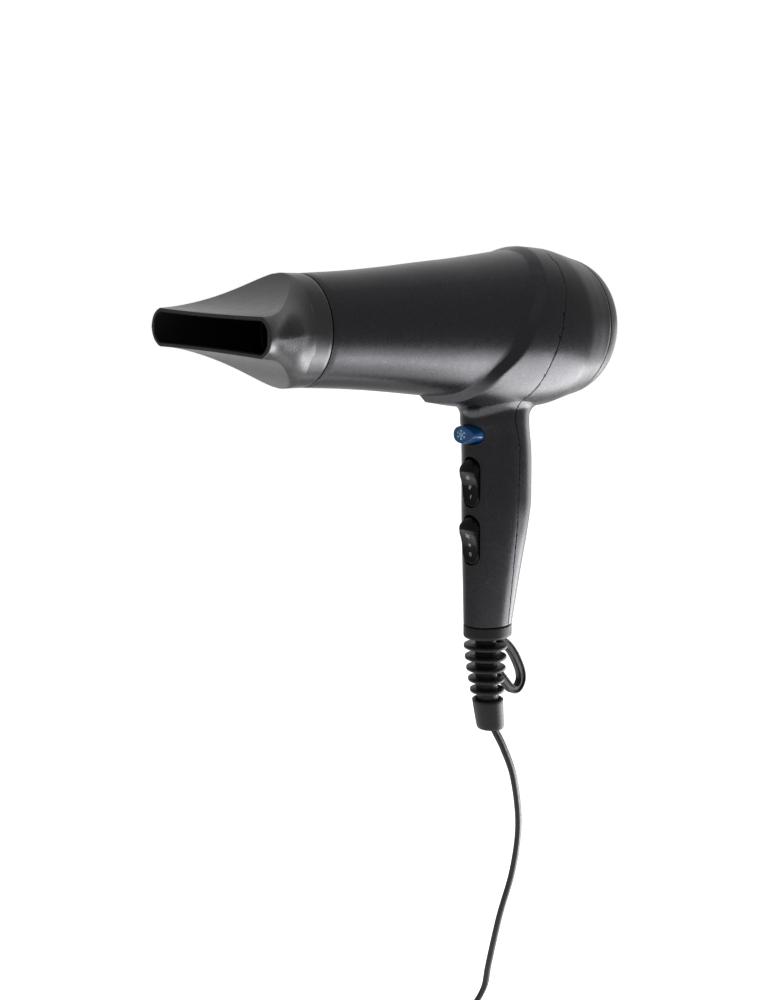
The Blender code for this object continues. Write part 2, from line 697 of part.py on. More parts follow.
# ---------------------------------------------------------------- motor and fan
def make_motor_mount():
    """A shroud that fills the housing, with straight vanes to a sleeve that holds the motor."""
    end = MOUNT_FRONT_X + MOUNT_LENGTH
    flange = 0.0020
    bore = FAN_TIP + 0.0008
    body = bore + 0.0016
    front_foot = MOUNT_FRONT_X + 0.003
    outside = [(inner_radius(MOUNT_FRONT_X) - GAP, MOUNT_FRONT_X),
               (inner_radius(MOUNT_FRONT_X) - GAP, front_foot), (body, MOTOR_FRONT_X + 0.008),
               (body, end - flange), (inner_radius(end - flange) - GAP, end - flange),
               (inner_radius(end) - GAP, end)]
    vane_end = MOUNT_FRONT_X + VANE_LENGTH
    sleeve = MOTOR_RADIUS + GAP
    inside = [(bore, end), (bore, vane_end), (sleeve, vane_end), (sleeve, MOUNT_FRONT_X)]
    made = turned("motor_mount", [*outside, *inside], SOFT_BLACK, steps=30)
    ring = [(sleeve + MOUNT_WALL, inner_radius(MOUNT_FRONT_X) - GAP - MOUNT_WALL)]
    cut(made, grille_slots("vane_gaps", ring, VANE_COUNT, MOUNT_FRONT_X - CUT_MARGIN,
                           vane_end + CUT_MARGIN))


def make_motor():
    back = MOTOR_FRONT_X + MOTOR_LENGTH
    bush_hole = BUSH_RADIUS + GAP
    inner = MOTOR_RADIUS - MOTOR_WALL
    can = [(MOTOR_RADIUS, MOTOR_FRONT_X), (MOTOR_RADIUS, back), (inner, back),
           (inner, MOTOR_FRONT_X + MOTOR_WALL), (bush_hole, MOTOR_FRONT_X + MOTOR_WALL),
           (bush_hole, MOTOR_FRONT_X)]
    turned("motor_case", can, STEEL, steps=24)
    cap_back, cap_front = back - GAP, back - 0.0018
    cap = [(inner - GAP, cap_front), (inner - GAP, cap_back), (bush_hole, cap_back),
           (bush_hole, cap_front)]
    turned("motor_end_cap", cap, PALE_PLASTIC, steps=24)
    bore = SHAFT_RADIUS + RUNNING
    for name, low in (("bearing_front", MOTOR_FRONT_X - 0.0008), ("bearing_rear", cap_front - 0.0008)):
        high = low + 0.0032
        bush = [(BUSH_RADIUS, low), (BUSH_RADIUS, high), (bore, high), (bore, low)]
        turned(name, bush, BRASS, steps=16)
    magnet_outer, magnet_inner = inner - GAP, inner - 0.0024
    for name, side in (("magnet_upper", 1), ("magnet_lower", -1)):
        arc = [math.radians(-62 + 124 * i / 8) for i in range(9)]
        outline = [(magnet_outer * math.sin(a), side * magnet_outer * math.cos(a)) for a in arc]
        outline += [(magnet_inner * math.sin(a), side * magnet_inner * math.cos(a)) for a in arc[::-1]]
        plate(name, outline, MOTOR_FRONT_X + 0.0040, back - 0.0060, "X", MAGNET)
    core = magnet_inner - 0.0006
    middle = (MOTOR_FRONT_X + back) / 2
    sleeve = SHAFT_RADIUS + GAP
    half = 0.0080
    armature = [(core, middle - half), (core, middle + half), (0.0045, middle + half + 0.001),
                (0.0045, middle + half + 0.0030), (sleeve, middle + half + 0.0030),
                (sleeve, middle - half)]
    turned("armature", armature, WIRE, steps=24)
    rod("motor_shaft", SHAFT_RADIUS, (MOTOR_FRONT_X - 0.0025, 0, 0), (FAN_X + FAN_DEPTH - 0.002, 0, 0),
        STEEL, sides=24)


def make_fan():
    """A hub with pitched blades that overlap it, joined into one moulding."""
    back = FAN_X + FAN_DEPTH
    sleeve = SHAFT_RADIUS + GAP
    inner = FAN_HUB - 0.0015
    hub = [(FAN_HUB, FAN_X), (FAN_HUB - 0.0010, back - 0.0015), (FAN_HUB - 0.0035, back),
           (0, back), (0, back - 0.0015), (sleeve, back - 0.0015), (sleeve, FAN_X + 0.0010),
           (0.0040, FAN_X + 0.0010), (0.0040, back - 0.0025), (inner, back - 0.0025), (inner, FAN_X)]
    made = turned("fan_impeller", hub, PALE_PLASTIC, steps=24)
    bm = bmesh.new()
    chord, thick = 0.0120, 0.0011
    for k in range(BLADE_COUNT):
        lean = Matrix.Rotation(2 * math.pi * k / BLADE_COUNT, 4, "X")
        rows = []
        for radius, twist in ((inner + 0.0004, 0.10), (0.5 * (inner + FAN_TIP), 0.0), (FAN_TIP, -0.12)):
            spin = Matrix.Rotation(BLADE_PITCH + twist, 4, "Z")
            row = []
            for a, b in ((-1, -1), (0, -1.3), (1, -1), (1, 1), (0, 0.7), (-1, 1)):
                point = spin @ Vector((a * chord / 2 * 0.82, b * thick / 2 + 0.0012 * (a * a - 0.5), 0))
                middle_x = (FAN_X + back) / 2 - 0.0003
                row.append(bm.verts.new(lean @ Vector((middle_x + point.x, point.y, radius))))
            rows.append(row)
        for low, high in zip(rows, rows[1:]):
            for i in range(6):
                j = (i + 1) % 6
                bm.faces.new((low[i], low[j], high[j], high[i]))
        bm.faces.new(rows[0][::-1])
        bm.faces.new(rows[-1])
    bmesh.ops.recalc_face_normals(bm, faces=bm.faces)
    join(made, place("fan_blades", mesh_from(bm, "fan_blades")))


# ---------------------------------------------------------------- heater
def heater_outer(x):
    return inner_radius(x) - GAP


def make_heater():
    """A mica cone against the barrel's bore, two crossed boards and a coil wound round them."""
    front, back = HEATER_FRONT_X, HEATER_FRONT_X + HEATER_LENGTH
    outside = [(heater_outer(x), x) for x in (front, -0.107, -0.082, back)]
    inside = [(radius - HEATER_SHEET, x) for radius, x in outside[::-1]]
    turned("heater_tube", [*outside, *inside], MICA, steps=24)
    coil_room = COIL_WIRE + 2 * GAP

    def board_half(x):
        return heater_outer(x) - HEATER_SHEET - coil_room - GAP

    inner_front, inner_back = front + 0.003, back - 0.003
    middle = (inner_front + inner_back) / 2
    half_lap = BOARD_THICKNESS / 2 + GAP
    edge = [(x, board_half(x)) for x in (inner_front, -0.107, -0.082, inner_back)]
    outline = [*[(x, -half) for x, half in edge], *edge[::-1]]
    for name, axis, low, high in (("mica_board_upright", "Y", inner_front - CUT_MARGIN, middle + GAP),
                                  ("mica_board_level", "Z", middle - GAP, inner_back + CUT_MARGIN)):
        board = plate(name, outline, -BOARD_THICKNESS / 2, BOARD_THICKNESS / 2, axis, MICA)
        cut(board, block(name + "_slot", (low, -half_lap, -half_lap), (high, half_lap, half_lap)))
    steps = 12
    turn_points = []
    for i in range(COIL_TURNS * steps + 1):
        share = i / (COIL_TURNS * steps)
        x = inner_front + 0.002 + (inner_back - inner_front - 0.004) * share
        # the points stand out so that the wire's flats clear the boards' edges
        radius = board_half(x) + GAP + COIL_WIRE / 2
        angle = 2 * math.pi * i / steps
        turn_points.append((x, radius * math.sin(angle), radius * math.cos(angle)))
    tube("heating_coil", turn_points, COIL_WIRE, WIRE, resolution=0)
    clear = BOARD_THICKNESS / 2 + GAP
    block("thermal_cutout", (middle - 0.004, clear, clear), (middle + 0.008, clear + 0.005, clear + 0.007),
          STEEL, bevel=0.0006)
    rod("thermal_fuse", 0.0019, (middle - 0.006, -clear - 0.0022, clear + 0.0022),
        (middle + 0.006, -clear - 0.0022, clear + 0.0022), PALE_PLASTIC, sides=16)


# ---------------------------------------------------------------- handle: switches and buttons
def round_equal(width, thickness):
    """The diameter of a round cord with the same section area as a flat one."""
    area = thickness * (width - thickness) + math.pi * thickness ** 2 / 4
    return 2 * math.sqrt(area / math.pi)


CORD_DIAMETER = round_equal(CORD_WIDTH, CORD_THICKNESS)


def rocker_side():
    """The rocker from the side, round its pivot, with the lower end pressed in."""
    reach = ROCKER_REACH
    ends = [math.radians(a) for a in (2, 20, 36)]
    top = [(-reach * math.sin(a), reach * math.cos(a)) for a in ends]
    bottom = [(-reach * math.sin(a), -reach * math.cos(a)) for a in ends[-2::-1]]
    return [*top, (-0.0086, 0.0076), (-0.0083, 0.0054), (-0.0066, 0.0018), (-0.0055, -0.0030),
            (-0.0050, -0.0100), (-0.0045, -0.0118), *bottom]


def make_rockers():
    for name, height in ROCKER_HEIGHTS.items():
        hinge = pivot(f"{name}_rocker_pivot", (ROCKER_PIVOT_X, 0, height))
        outline = stadium(ROCKER_WIDTH, 2 * ROCKER_REACH)
        rocker = plate(f"{name}_rocker", outline, -0.010, 0.0, "X", GLOSS_BLACK, parent=hinge)
        side = plate(f"{name}_rocker_side", rocker_side(), -0.02, 0.02, "Y", parent=hinge)
        # what the tilted rocker would carry past the opening's round ends is left out
        tilted = plate(f"{name}_rocker_tilted", outline, -0.020, 0.010, "X", parent=hinge)
        tilted.rotation_euler = (0, -ROCKER_TILT, 0)
        keep(keep(rocker, side), tilted)
        half = 0.0085
        block(f"{name}_switch", (SWITCH_FRONT_X, -0.0065, height - half),
              (SWITCH_FRONT_X + SWITCH_DEPTH, 0.0065, height + half), SOFT_BLACK, bevel=0.0005)


def make_cool_shot():
    """A press button on a return spring, in front of its own switch."""
    outline = raised(oval(BUTTON_WIDTH, BUTTON_HEIGHT), BUTTON_HEIGHT_Z)
    button = plate("cool_shot_button", outline, BUTTON_FRONT_X, BUTTON_FLANGE_X, "X", BLUE)
    flange = raised(oval(BUTTON_WIDTH - 0.0014, BUTTON_HEIGHT + 0.0024), BUTTON_HEIGHT_Z)
    join(button, plate("cool_shot_flange", flange, BUTTON_FLANGE_X,
                       BUTTON_FLANGE_X + BUTTON_FLANGE, "X"))
    side = [(-0.0172, -0.0092), (-0.0226, -0.0078), (-0.0243, -0.0060), (-0.0250, -0.0030)]
    crown = [*side, *[(x, -y) for x, y in side[::-1]]]
    inside = BUTTON_FLANGE_X + BUTTON_FLANGE + 0.001
    limits = [(inside, -0.0150), (-0.0165, -0.0150), *crown, (-0.0165, 0.0150), (inside, 0.0150)]
    keep(button, plate("cool_shot_crown", limits, BUTTON_HEIGHT_Z - 0.02, BUTTON_HEIGHT_Z + 0.02, "Z"))
    start = BUTTON_FLANGE_X + BUTTON_FLANGE + GAP + SPRING_WIRE / 2
    end = SWITCH_FRONT_X - GAP - SPRING_WIRE / 2 + 0.002
    steps = 8
    points = []
    for i in range(SPRING_TURNS * steps + 1):
        share = i / (SPRING_TURNS * steps)
        angle = 2 * math.pi * i / steps
        points.append((start + (end - start) * share, SPRING_RADIUS * math.sin(angle),
                       BUTTON_HEIGHT_Z + SPRING_RADIUS * math.cos(angle)))
    tube("cool_shot_spring", points, SPRING_WIRE, STEEL, resolution=0)
    low = SWITCH_FRONT_X + 0.002
    block("cool_shot_switch", (low, -0.0055, BUTTON_HEIGHT_Z - 0.0040),
          (SWITCH_FRONT_X + SWITCH_DEPTH, 0.0055, BUTTON_HEIGHT_Z + 0.0040), SOFT_BLACK, bevel=0.0004)


def make_board_and_leads():
    front = BOARD_X
    block("switch_board", (front, -BOARD_HALF_WIDTH, BOARD_BOTTOM),
          (front + BOARD_SHEET, BOARD_HALF_WIDTH, BOARD_TOP), BOARD_GREEN)
    back = front + BOARD_SHEET + GAP
    deep, wide, tall = RECTIFIER_SIZE
    block("rectifier", (back, -wide / 2, RECTIFIER_TOP - tall), (back + deep, wide / 2, RECTIFIER_TOP),
          SOFT_BLACK, bevel=0.0005)
    for name, side, finish in (("heater_lead_live", 1, RED), ("heater_lead_neutral", -1, NAVY)):
        y = side * LEAD_SPACING / 2
        foot = BOARD_X + BOARD_SHEET / 2
        route = [(foot, y, BOARD_TOP + GAP), (foot, y, BOARD_TOP + 0.003), (-0.009, y, -0.0445),
                 (-0.0145, y, -0.0385), (-0.0185, y, -0.0320), (-0.030, y, -0.0270),
                 (-0.046, y, -0.0235), (HEATER_FRONT_X + HEATER_LENGTH - 0.0020, y, -0.0215)]
        tube(name, smooth_path(route, 3 * LEAD_THICKNESS), LEAD_THICKNESS, finish, resolution=1)
    relief_top = HANDLE_BOTTOM - GAP - END_RING_HEIGHT + RELIEF_SEAT + RELIEF_HEAD_HEIGHT + 2 * GAP
    board_middle = BOARD_X + BOARD_SHEET / 2
    supply = [(RELIEF_X, 0, relief_top), (RELIEF_X, 0, relief_top + 0.008),
              (RELIEF_X, 0.0050, -0.1470), (RELIEF_X, 0.0066, -0.1400),
              (board_middle, 0.0050, BOARD_BOTTOM - 0.0040), (board_middle, 0.0050, BOARD_BOTTOM - 2 * GAP)]
    tube("supply_lead", smooth_path(supply, 0.005), CORD_DIAMETER * 0.8, RUBBER)


# ---------------------------------------------------------------- end ring, strain relief and cord
def make_end_ring():
    """The band that closes the handle, with a lip inside it and a hole for the strain relief."""
    _, front, rear = HANDLE_SECTIONS[-1]
    top = HANDLE_BOTTOM - GAP
    bottom = top - END_RING_HEIGHT
    rings = [handle_ring(top, front, rear), handle_ring(top - 0.7 * END_RING_HEIGHT, front, rear),
             handle_ring(bottom + 0.0004, front, rear, inset=0.0005),
             handle_ring(bottom, front, rear, inset=0.0016)]
    made = loft("end_ring", rings, RUBBER)
    lip = [handle_ring(top + 0.004, front, rear, inset=WALL + GAP),
           handle_ring(top - 0.001, front, rear, inset=WALL + GAP)]
    join(made, loft("end_ring_lip", lip))
    hole = [handle_ring(top + 0.006, front, rear, inset=WALL + GAP + 0.0016),
            handle_ring(bottom + RELIEF_SEAT, front, rear, inset=WALL + GAP + 0.0016)]
    cut(made, loft("end_ring_hollow", hole),
        rod("end_ring_hole", NECK_OF_RELIEF + GAP, (RELIEF_X, 0, bottom - CUT_MARGIN),
            (RELIEF_X, 0, top), sides=32))


def relief_centre(height):
    """The relief bends a little towards the side to which the cord is pulled."""
    share = max(0.0, (DISC_TOP - height) / (DISC_TOP - CUFF_BOTTOM))
    return Vector((RELIEF_X, 0, height)) + LEAN * CUFF_SHIFT * share ** 2


def disc_ring(height, radius, count=16):
    centre = relief_centre(height)
    angles = [2 * math.pi * i / count for i in range(count)]
    return [centre + Vector((radius * math.cos(a), radius * math.sin(a), 0)) for a in angles]


def make_strain_relief():
    """Ribbed boot: neck, discs on a core, cuff with the cord's bore, and the hanging loop."""
    ring_bottom = HANDLE_BOTTOM - GAP - END_RING_HEIGHT
    head_low = ring_bottom + RELIEF_SEAT + GAP
    rows = [(head_low + RELIEF_HEAD_HEIGHT, RELIEF_HEAD), (head_low, RELIEF_HEAD), (head_low, NECK_OF_RELIEF),
            (ring_bottom - GAP, NECK_OF_RELIEF), (DISC_TOP, NECK_OF_RELIEF)]
    for i, diameter in enumerate(DISC_DIAMETERS):
        top = DISC_TOP - i * DISC_PITCH
        radius = diameter / 2
        rows += [(top, radius - 0.0006), (top - 0.0008, radius), (top - DISC_THICKNESS, radius),
                 (top - DISC_THICKNESS - 0.0001, RELIEF_CORE),
                 (top - DISC_PITCH + 0.0001, RELIEF_CORE)]
    rows[-1] = (CUFF_TOP + 0.0001, RELIEF_CORE)
    rows += [(CUFF_TOP, CUFF_TOP_RADIUS - 0.0008), (CUFF_TOP - 0.0010, CUFF_TOP_RADIUS),
             (CUFF_BOTTOM + 0.0010, CUFF_BOTTOM_RADIUS), (CUFF_BOTTOM, CUFF_BOTTOM_RADIUS - 0.0008)]
    made = loft("strain_relief", [disc_ring(*row) for row in rows], RUBBER)
    bore_top = CUFF_BOTTOM + CUFF_BORE_DEPTH
    bore = [disc_ring(bore_top, CUFF_BORE, 20), disc_ring(CUFF_BOTTOM - CUT_MARGIN, CUFF_BORE, 20)]
    join(made, loop_solid())
    cut(made, loft("cuff_bore", bore))


def loop_outline(inset):
    """The hanging loop from the side: an oval that leans out from the first disc."""
    centre = Vector((0.0126, -0.1840))
    reach, width = 0.0158 - inset, 0.0094 - inset
    lean = math.radians(24)
    points = []
    for i in range(24):
        angle = 2 * math.pi * i / 24
        x, z = width * math.cos(angle), reach * math.sin(angle)
        points.append((centre.x + x * math.cos(lean) - z * math.sin(lean),
                       centre.y + x * math.sin(lean) + z * math.cos(lean)))
    return points


def loop_solid():
    half = 0.0021
    hang = plate("hanging_loop_band", loop_outline(0.0), -half, half, "Y")
    cut(hang, plate("hanging_loop_hole", loop_outline(0.0045), -2 * half, 2 * half, "Y"))
    return hang


def side_on(across, height, layer=0.0):
    """A point in the upright plane in which the cord hangs and winds."""
    centre = relief_centre(CUFF_BOTTOM)
    return Vector((centre.x, centre.y, height)) + LEAN * across + THROUGH * layer


def coil_turns():
    """Loops in two layers: in on the first, a climb of half a turn, and out on the second."""
    per_turn = COIL_LOOP_POINTS
    outer = COIL_INNER + COIL_STEP * COIL_LAYER_TURNS
    centre = -COIL_CENTRE_DROP
    start = math.radians(30)
    count = COIL_LAYER_TURNS * per_turn
    points = []
    for i in range(count + 1):
        radius = outer - COIL_STEP * i / per_turn
        points.append((start + 2 * math.pi * i / per_turn, radius, 0.0))
    climb = per_turn // 2
    for i in range(1, climb + 1):
        points.append((start + 2 * math.pi * (count + i) / per_turn, COIL_INNER, i / climb))
    for i in range(1, count - climb + 1):
        radius = COIL_INNER + COIL_STEP * i / per_turn
        points.append((start + 2 * math.pi * (count + climb + i) / per_turn, radius, 1.0))
    return [side_on(-r * math.sin(a), centre + r * math.cos(a), COIL_LAYER_STEP * layer)
            for a, r, layer in points]


def least_gap(points, diameter):
    """The least clear distance between stretches of the coil that aren't neighbours."""
    fine = []
    for a, b in zip(points, points[1:]):
        fine += [a.lerp(b, t / 4) for t in range(4)]
    apart = COIL_LOOP_POINTS * 2
    least = min((fine[i] - fine[j]).length for i in range(0, len(fine), 2)
                for j in range(i + apart, len(fine), 2))
    return least - diameter


def make_cord():
    coil = coil_turns()
    print(f"coil: {len(coil)} points, least gap to itself {least_gap(coil, CORD_DIAMETER) * 1000:.2f} mm")
    tube("cord_coil", coil, CORD_DIAMETER, RUBBER, resolution=1)
    into = (coil[1] - coil[0]).normalized()
    out = (coil[-1] - coil[-2]).normalized()
    exit_top = CUFF_BOTTOM + CUFF_BORE_DEPTH - GAP
    stop = coil[0] - into * GAP
    bend = COIL_INNER + COIL_STEP * COIL_LAYER_TURNS
    route = [side_on(0.0010, exit_top), side_on(0.0012, exit_top - CORD_DIAMETER),
             side_on(0.0030, CUFF_BOTTOM - 0.0030), side_on(0.0073, CUFF_BOTTOM - 0.0120),
             side_on(0.0130, CUFF_BOTTOM - 0.0290), side_on(0.0160, CUFF_BOTTOM - 0.0560),
             side_on(0.0130, CUFF_BOTTOM - 0.0830), side_on(0.0060, CUFF_BOTTOM - 0.1100)]
    for degrees in (0, 20, 40, 56):
        turn = math.radians(degrees)
        low = math.radians(60)
        route.append(stop + LEAN * bend * (math.cos(turn) - math.cos(low))
                     + Vector((0, 0, bend * (math.sin(low) - math.sin(turn)))))
    route += [stop]
    tube("mains_cord", smooth_path(route, 2.5 * CORD_DIAMETER), CORD_DIAMETER, RUBBER)
    begin = coil[-1] + out * GAP
    centre = -COIL_CENTRE_DROP
    end = side_on(-0.037, centre - 0.012, 0.0235)
    tail = [begin, begin + out * CORD_DIAMETER, side_on(-0.0330, centre + 0.0270, 0.0090),
            side_on(-0.0366, centre + 0.0150, 0.0155), side_on(-0.0370, centre + 0.0030, 0.0213),
            end + Vector((0, 0, CORD_DIAMETER)), end]
    tube("cord_tail", smooth_path(tail, 2.5 * CORD_DIAMETER), CORD_DIAMETER, RUBBER)
    return end


def make_plug(top):
    """A moulded two-pin plug on the cord's end, its pins pointing down."""
    at = top + Vector((0, 0, -GAP))
    sleeve = 0.016
    count = 20

    def section(height, width, depth):
        angles = [2 * math.pi * i / count for i in range(count)]
        ring = []
        for a in angles:
            c, s = math.cos(a), math.sin(a)
            ring.append(at + Vector((0, 0, -height)) + LEAN * (width * math.copysign(abs(c) ** 0.7, c))
                        + THROUGH * (depth * math.copysign(abs(s) ** 0.7, s)))
        return ring

    rows = [(0, 0.0045, 0.0038), (sleeve * 0.6, 0.0052, 0.0044), (sleeve, 0.0075, 0.0058),
            (sleeve + 0.004, 0.0125, 0.0082), (sleeve + 0.010, 0.0165, 0.0110),
            (PLUG_LENGTH - 0.001, 0.0176, 0.0130), (PLUG_LENGTH, 0.0166, 0.0120)]
    made = loft("plug", [section(*row) for row in rows], RUBBER)
    pin, apart, length, root = 0.0024, 0.0190, 0.0190, 0.0060
    for k, side in enumerate((-1, 1), 1):
        foot = at + LEAN * (side * apart / 2) + Vector((0, 0, -PLUG_LENGTH))
        cut(made, rod(f"plug_socket_{k}", pin + GAP, foot + Vector((0, 0, root)),
                      foot + Vector((0, 0, -CUT_MARGIN)), sides=16))
        rod(f"plug_pin_{k}", pin, foot + Vector((0, 0, root - GAP)), foot + Vector((0, 0, -length)),
            BRASS, sides=16)


def make_cord_tie():
    """A strap round the coil's bundle of turns, at the top."""
    outer = COIL_INNER + COIL_STEP * (COIL_LAYER_TURNS + 0.5)
    inner = COIL_INNER - COIL_STEP * 0.7
    middle = (outer + inner) / 2
    half_tall, half_deep = (outer - inner) / 2 + 0.0012, COIL_LAYER_STEP / 2 + CORD_DIAMETER / 2 + 0.0010
    angle = math.radians(200)
    sheet = 0.0010

    def band(grow, name, half_wide):
        radial = LEAN * (-math.sin(angle)) + Vector((0, 0, math.cos(angle)))
        tangent = radial.cross(THROUGH)
        centre = side_on(0, -COIL_CENTRE_DROP, COIL_LAYER_STEP / 2) + radial * middle
        rings = []
        for step in (-half_wide, half_wide):
            ring = []
            for i in range(24):
                a = 2 * math.pi * i / 24
                c, s = math.cos(a), math.sin(a)
                ring.append(centre + tangent * step
                            + radial * ((half_tall + grow) * math.copysign(abs(c) ** 0.4, c))
                            + THROUGH * ((half_deep + grow) * math.copysign(abs(s) ** 0.4, s)))
            rings.append(ring)
        return loft(name, rings, RUBBER if name == "cord_tie" else None)

    cut(band(sheet, "cord_tie", 0.0050), band(0.0, "cord_tie_inside", 0.0070))


make_shells()
make_handle_screws()
make_nozzle()
make_outlet_grille()
make_inlet_cover()
make_lint_filter()
make_motor_mount()
make_motor()
make_fan()
make_heater()
make_rockers()
make_cool_shot()
make_board_and_leads()
make_end_ring()
make_strain_relief()
make_cord_tie()
make_plug(make_cord())
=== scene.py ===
"""Looks of the hair dryer: shells, nozzle, buttons, boot and cord, with their finishes."""
import json
import math
from contextlib import contextmanager

import bpy
import numpy as np
from mathutils import Matrix, Vector

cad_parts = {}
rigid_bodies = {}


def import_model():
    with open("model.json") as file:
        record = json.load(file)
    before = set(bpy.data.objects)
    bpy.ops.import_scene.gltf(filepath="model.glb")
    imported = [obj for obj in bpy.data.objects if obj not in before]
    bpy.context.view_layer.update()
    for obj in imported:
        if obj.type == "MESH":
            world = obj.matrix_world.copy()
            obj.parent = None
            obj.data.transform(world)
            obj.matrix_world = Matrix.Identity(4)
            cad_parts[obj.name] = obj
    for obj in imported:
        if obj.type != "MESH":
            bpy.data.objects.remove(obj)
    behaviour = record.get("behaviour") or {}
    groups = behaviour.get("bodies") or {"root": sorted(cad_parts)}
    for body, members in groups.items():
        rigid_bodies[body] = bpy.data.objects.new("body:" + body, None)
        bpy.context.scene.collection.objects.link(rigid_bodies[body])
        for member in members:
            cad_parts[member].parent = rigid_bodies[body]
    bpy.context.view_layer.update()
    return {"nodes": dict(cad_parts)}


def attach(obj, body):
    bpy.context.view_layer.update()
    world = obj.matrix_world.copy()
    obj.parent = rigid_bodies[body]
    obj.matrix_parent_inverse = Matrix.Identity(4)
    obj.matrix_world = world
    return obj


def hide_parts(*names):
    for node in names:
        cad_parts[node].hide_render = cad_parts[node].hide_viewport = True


bl_info = {
    "name": "Hair Dryer",
    "version": (1, 0, 0),
    "blender": (4, 5, 0),
    "location": "View3D > Sidebar > Hair Dryer",
    "description": "Dresses the hair dryer's frame with its shells, nozzle, buttons and cord",
    "category": "Object",
}

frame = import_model()

# ---------------------------------------------------------------- places, in metres from the barrel's axis
AXIS_HEIGHT = 0.100
WALL = 0.0024
OUTLET_X = -0.132
SHELL_END_X = 0.0463
BARREL_PROFILE = [(OUTLET_X, 0.0260), (-0.107, 0.0276), (-0.082, 0.0300), (-0.057, 0.0329),
                  (-0.037, 0.0351), (-0.017, 0.0377), (0.003, 0.0403), (0.0463, 0.0430)]
HOUSING_PROFILE = [(OUTLET_X, 0.0290), (-0.060, 0.0353), (-0.047, 0.0375), (-0.0326, 0.0398),
                   (-0.017, 0.0414), (-0.004, 0.0423), (0.010, 0.0426), (0.024, 0.0421),
                   (0.034, 0.0404), (0.042, 0.0387), (0.0463, 0.0379)]
COLLAR_EDGE = [(0, 0.0020), (20, 0.0005), (37, -0.0038), (62, -0.0099), (90, -0.0216), (110, -0.0290),
               (125, -0.0352), (144, -0.0405), (160, -0.0450), (180, -0.0570)]
RAMP_SHARE = [(0, 1.50), (33, 1.30), (60, 1.0), (90, 1.0), (110, 0.86), (125, 0.70), (180, 0.75)]
BORE_STEP = (0.0000, 0.0120)
SEAM_LINE = [(0.0600, 0.0245), (0.0445, 0.0238), (0.0416, 0.0220), (0.0370, 0.0155), (0.0320, 0.0140),
             (0.0210, 0.0098), (0.0072, 0.0040), (-0.0074, 0.0002), (-0.0225, -0.0024),
             (-0.0310, -0.0027), (-0.0370, -0.0027), (-0.0420, -0.0038), (-0.0465, -0.0043),
             (-0.0546, -0.0024), (-0.0627, -0.0010), (-0.0850, -0.0001), (-0.1220, -0.0022),
             (-0.1570, -0.0030), (-0.1720, -0.0030)]
HANDLE_TOP, HANDLE_BOTTOM = -0.0485, -0.1584
HANDLE_EDGES = [(HANDLE_TOP, -0.0222, 0.0174), (-0.0540, -0.0214, 0.0179), (-0.0620, -0.0210, 0.0190),
                (-0.0720, -0.0207, 0.0196), (-0.0900, -0.0207, 0.0197), (-0.1060, -0.0207, 0.0177),
                (-0.1250, -0.0207, 0.0139), (-0.1400, -0.0206, 0.0110), (-0.1612, -0.0206, 0.0071)]
HANDLE_FRONT = [(z, front) for z, front, _ in HANDLE_EDGES]
HANDLE_REAR = [(z, rear) for z, _, rear in HANDLE_EDGES]
HANDLE_ASPECT = 0.86
NECK_RADIUS, NECK_BORE, NECK_LENGTH = 0.0232, 0.0212, 0.012
NOZZLE_LENGTH, NOZZLE_COLLAR, NOZZLE_WALL = 0.0497, 0.0100, 0.0020
SLOT_WIDTH, SLOT_HEIGHT = 0.0916, 0.0178
OUTLET_RING = 0.0260
FAN_HEIGHT, FAN_WIDENS, FAN_SINKS, FLAT_SINKS = 0.0123, 1.25, 1.3, 1.85
KEEL_HEIGHT, SLOT_SHIFT, NOZZLE_TURN = 0.0090, 0.0011, math.radians(3)
COVER_LENGTH, COVER_RIM, COVER_RADIUS, COVER_FLANGE = 0.0112, 0.0300, 0.0379, 0.0036
GRILLE_RINGS = (0.0284, 0.0252, 0.0218, 0.0178, 0.0142, 0.0102, 0.0066)
GUARD_RINGS = ((0.0202, 0.0018), (0.0120, 0.0018), (0.0040, 0.0022))
SCREEN_SIZE, SCREEN_CELLS, SCREEN_RADIUS, SCREEN_WIRE = 0.0660, 46, 0.0318, 0.00042
ROCKER_HEIGHTS = {"heat": -0.0803, "speed": -0.1112}
ROCKER_PIVOT_X, ROCKER_WIDTH, ROCKER_REACH = -0.0155, 0.0118, 0.0131
ROCKER_TILT = math.radians(21)
BUTTON_HEIGHT_Z, BUTTON_WIDTH, BUTTON_HEIGHT = -0.0550, 0.0160, 0.0098
BUTTON_FRONT_X, BUTTON_FLANGE_X = -0.0252, -0.0150
END_RING_HEIGHT = 0.0070
SCREW_HEIGHTS = (-0.0450, -0.1400)
POST_RADIUS, PILOT_RADIUS, POCKET_RADIUS = 0.0034, 0.0017, 0.0030
GAP = 0.0003
RELIEF_X = -0.0079
DISC_TOP, DISC_PITCH, DISC_THICKNESS = -0.1697, 0.0062, 0.0021
DISC_DIAMETERS = (0.0238, 0.0227, 0.0215, 0.0200, 0.0186)
RELIEF_CORE, NECK_OF_RELIEF = 0.0060, 0.0058
CUFF_TOP, CUFF_BOTTOM, CUFF_SHIFT = -0.2005, -0.2172, 0.0031
CUFF_TOP_RADIUS, CUFF_BOTTOM_RADIUS, CUFF_BORE, CUFF_BORE_DEPTH = 0.0086, 0.0075, 0.0046, 0.0060
LEAN = Vector((0.753, -0.658, 0.0))
THROUGH = Vector((0.658, 0.753, 0.0))
COIL_CENTRE_DROP, COIL_INNER, COIL_STEP, COIL_LAYER_STEP = 0.430, 0.0200, 0.0056, 0.0066
COIL_LAYER_TURNS, COIL_LOOP_POINTS = 4, 24
CORD_TURN = math.radians(22)
PLUG_LENGTH, PIN_OFFSET = 0.036, 0.0095
MARK_SINK = 0.00012


# ---------------------------------------------------------------- curves and numbers
def straight(table, place):
    """Straight interpolation in a table of (place, value)."""
    rows = np.array(sorted(table))
    return np.interp(place, rows[:, 0], rows[:, 1])


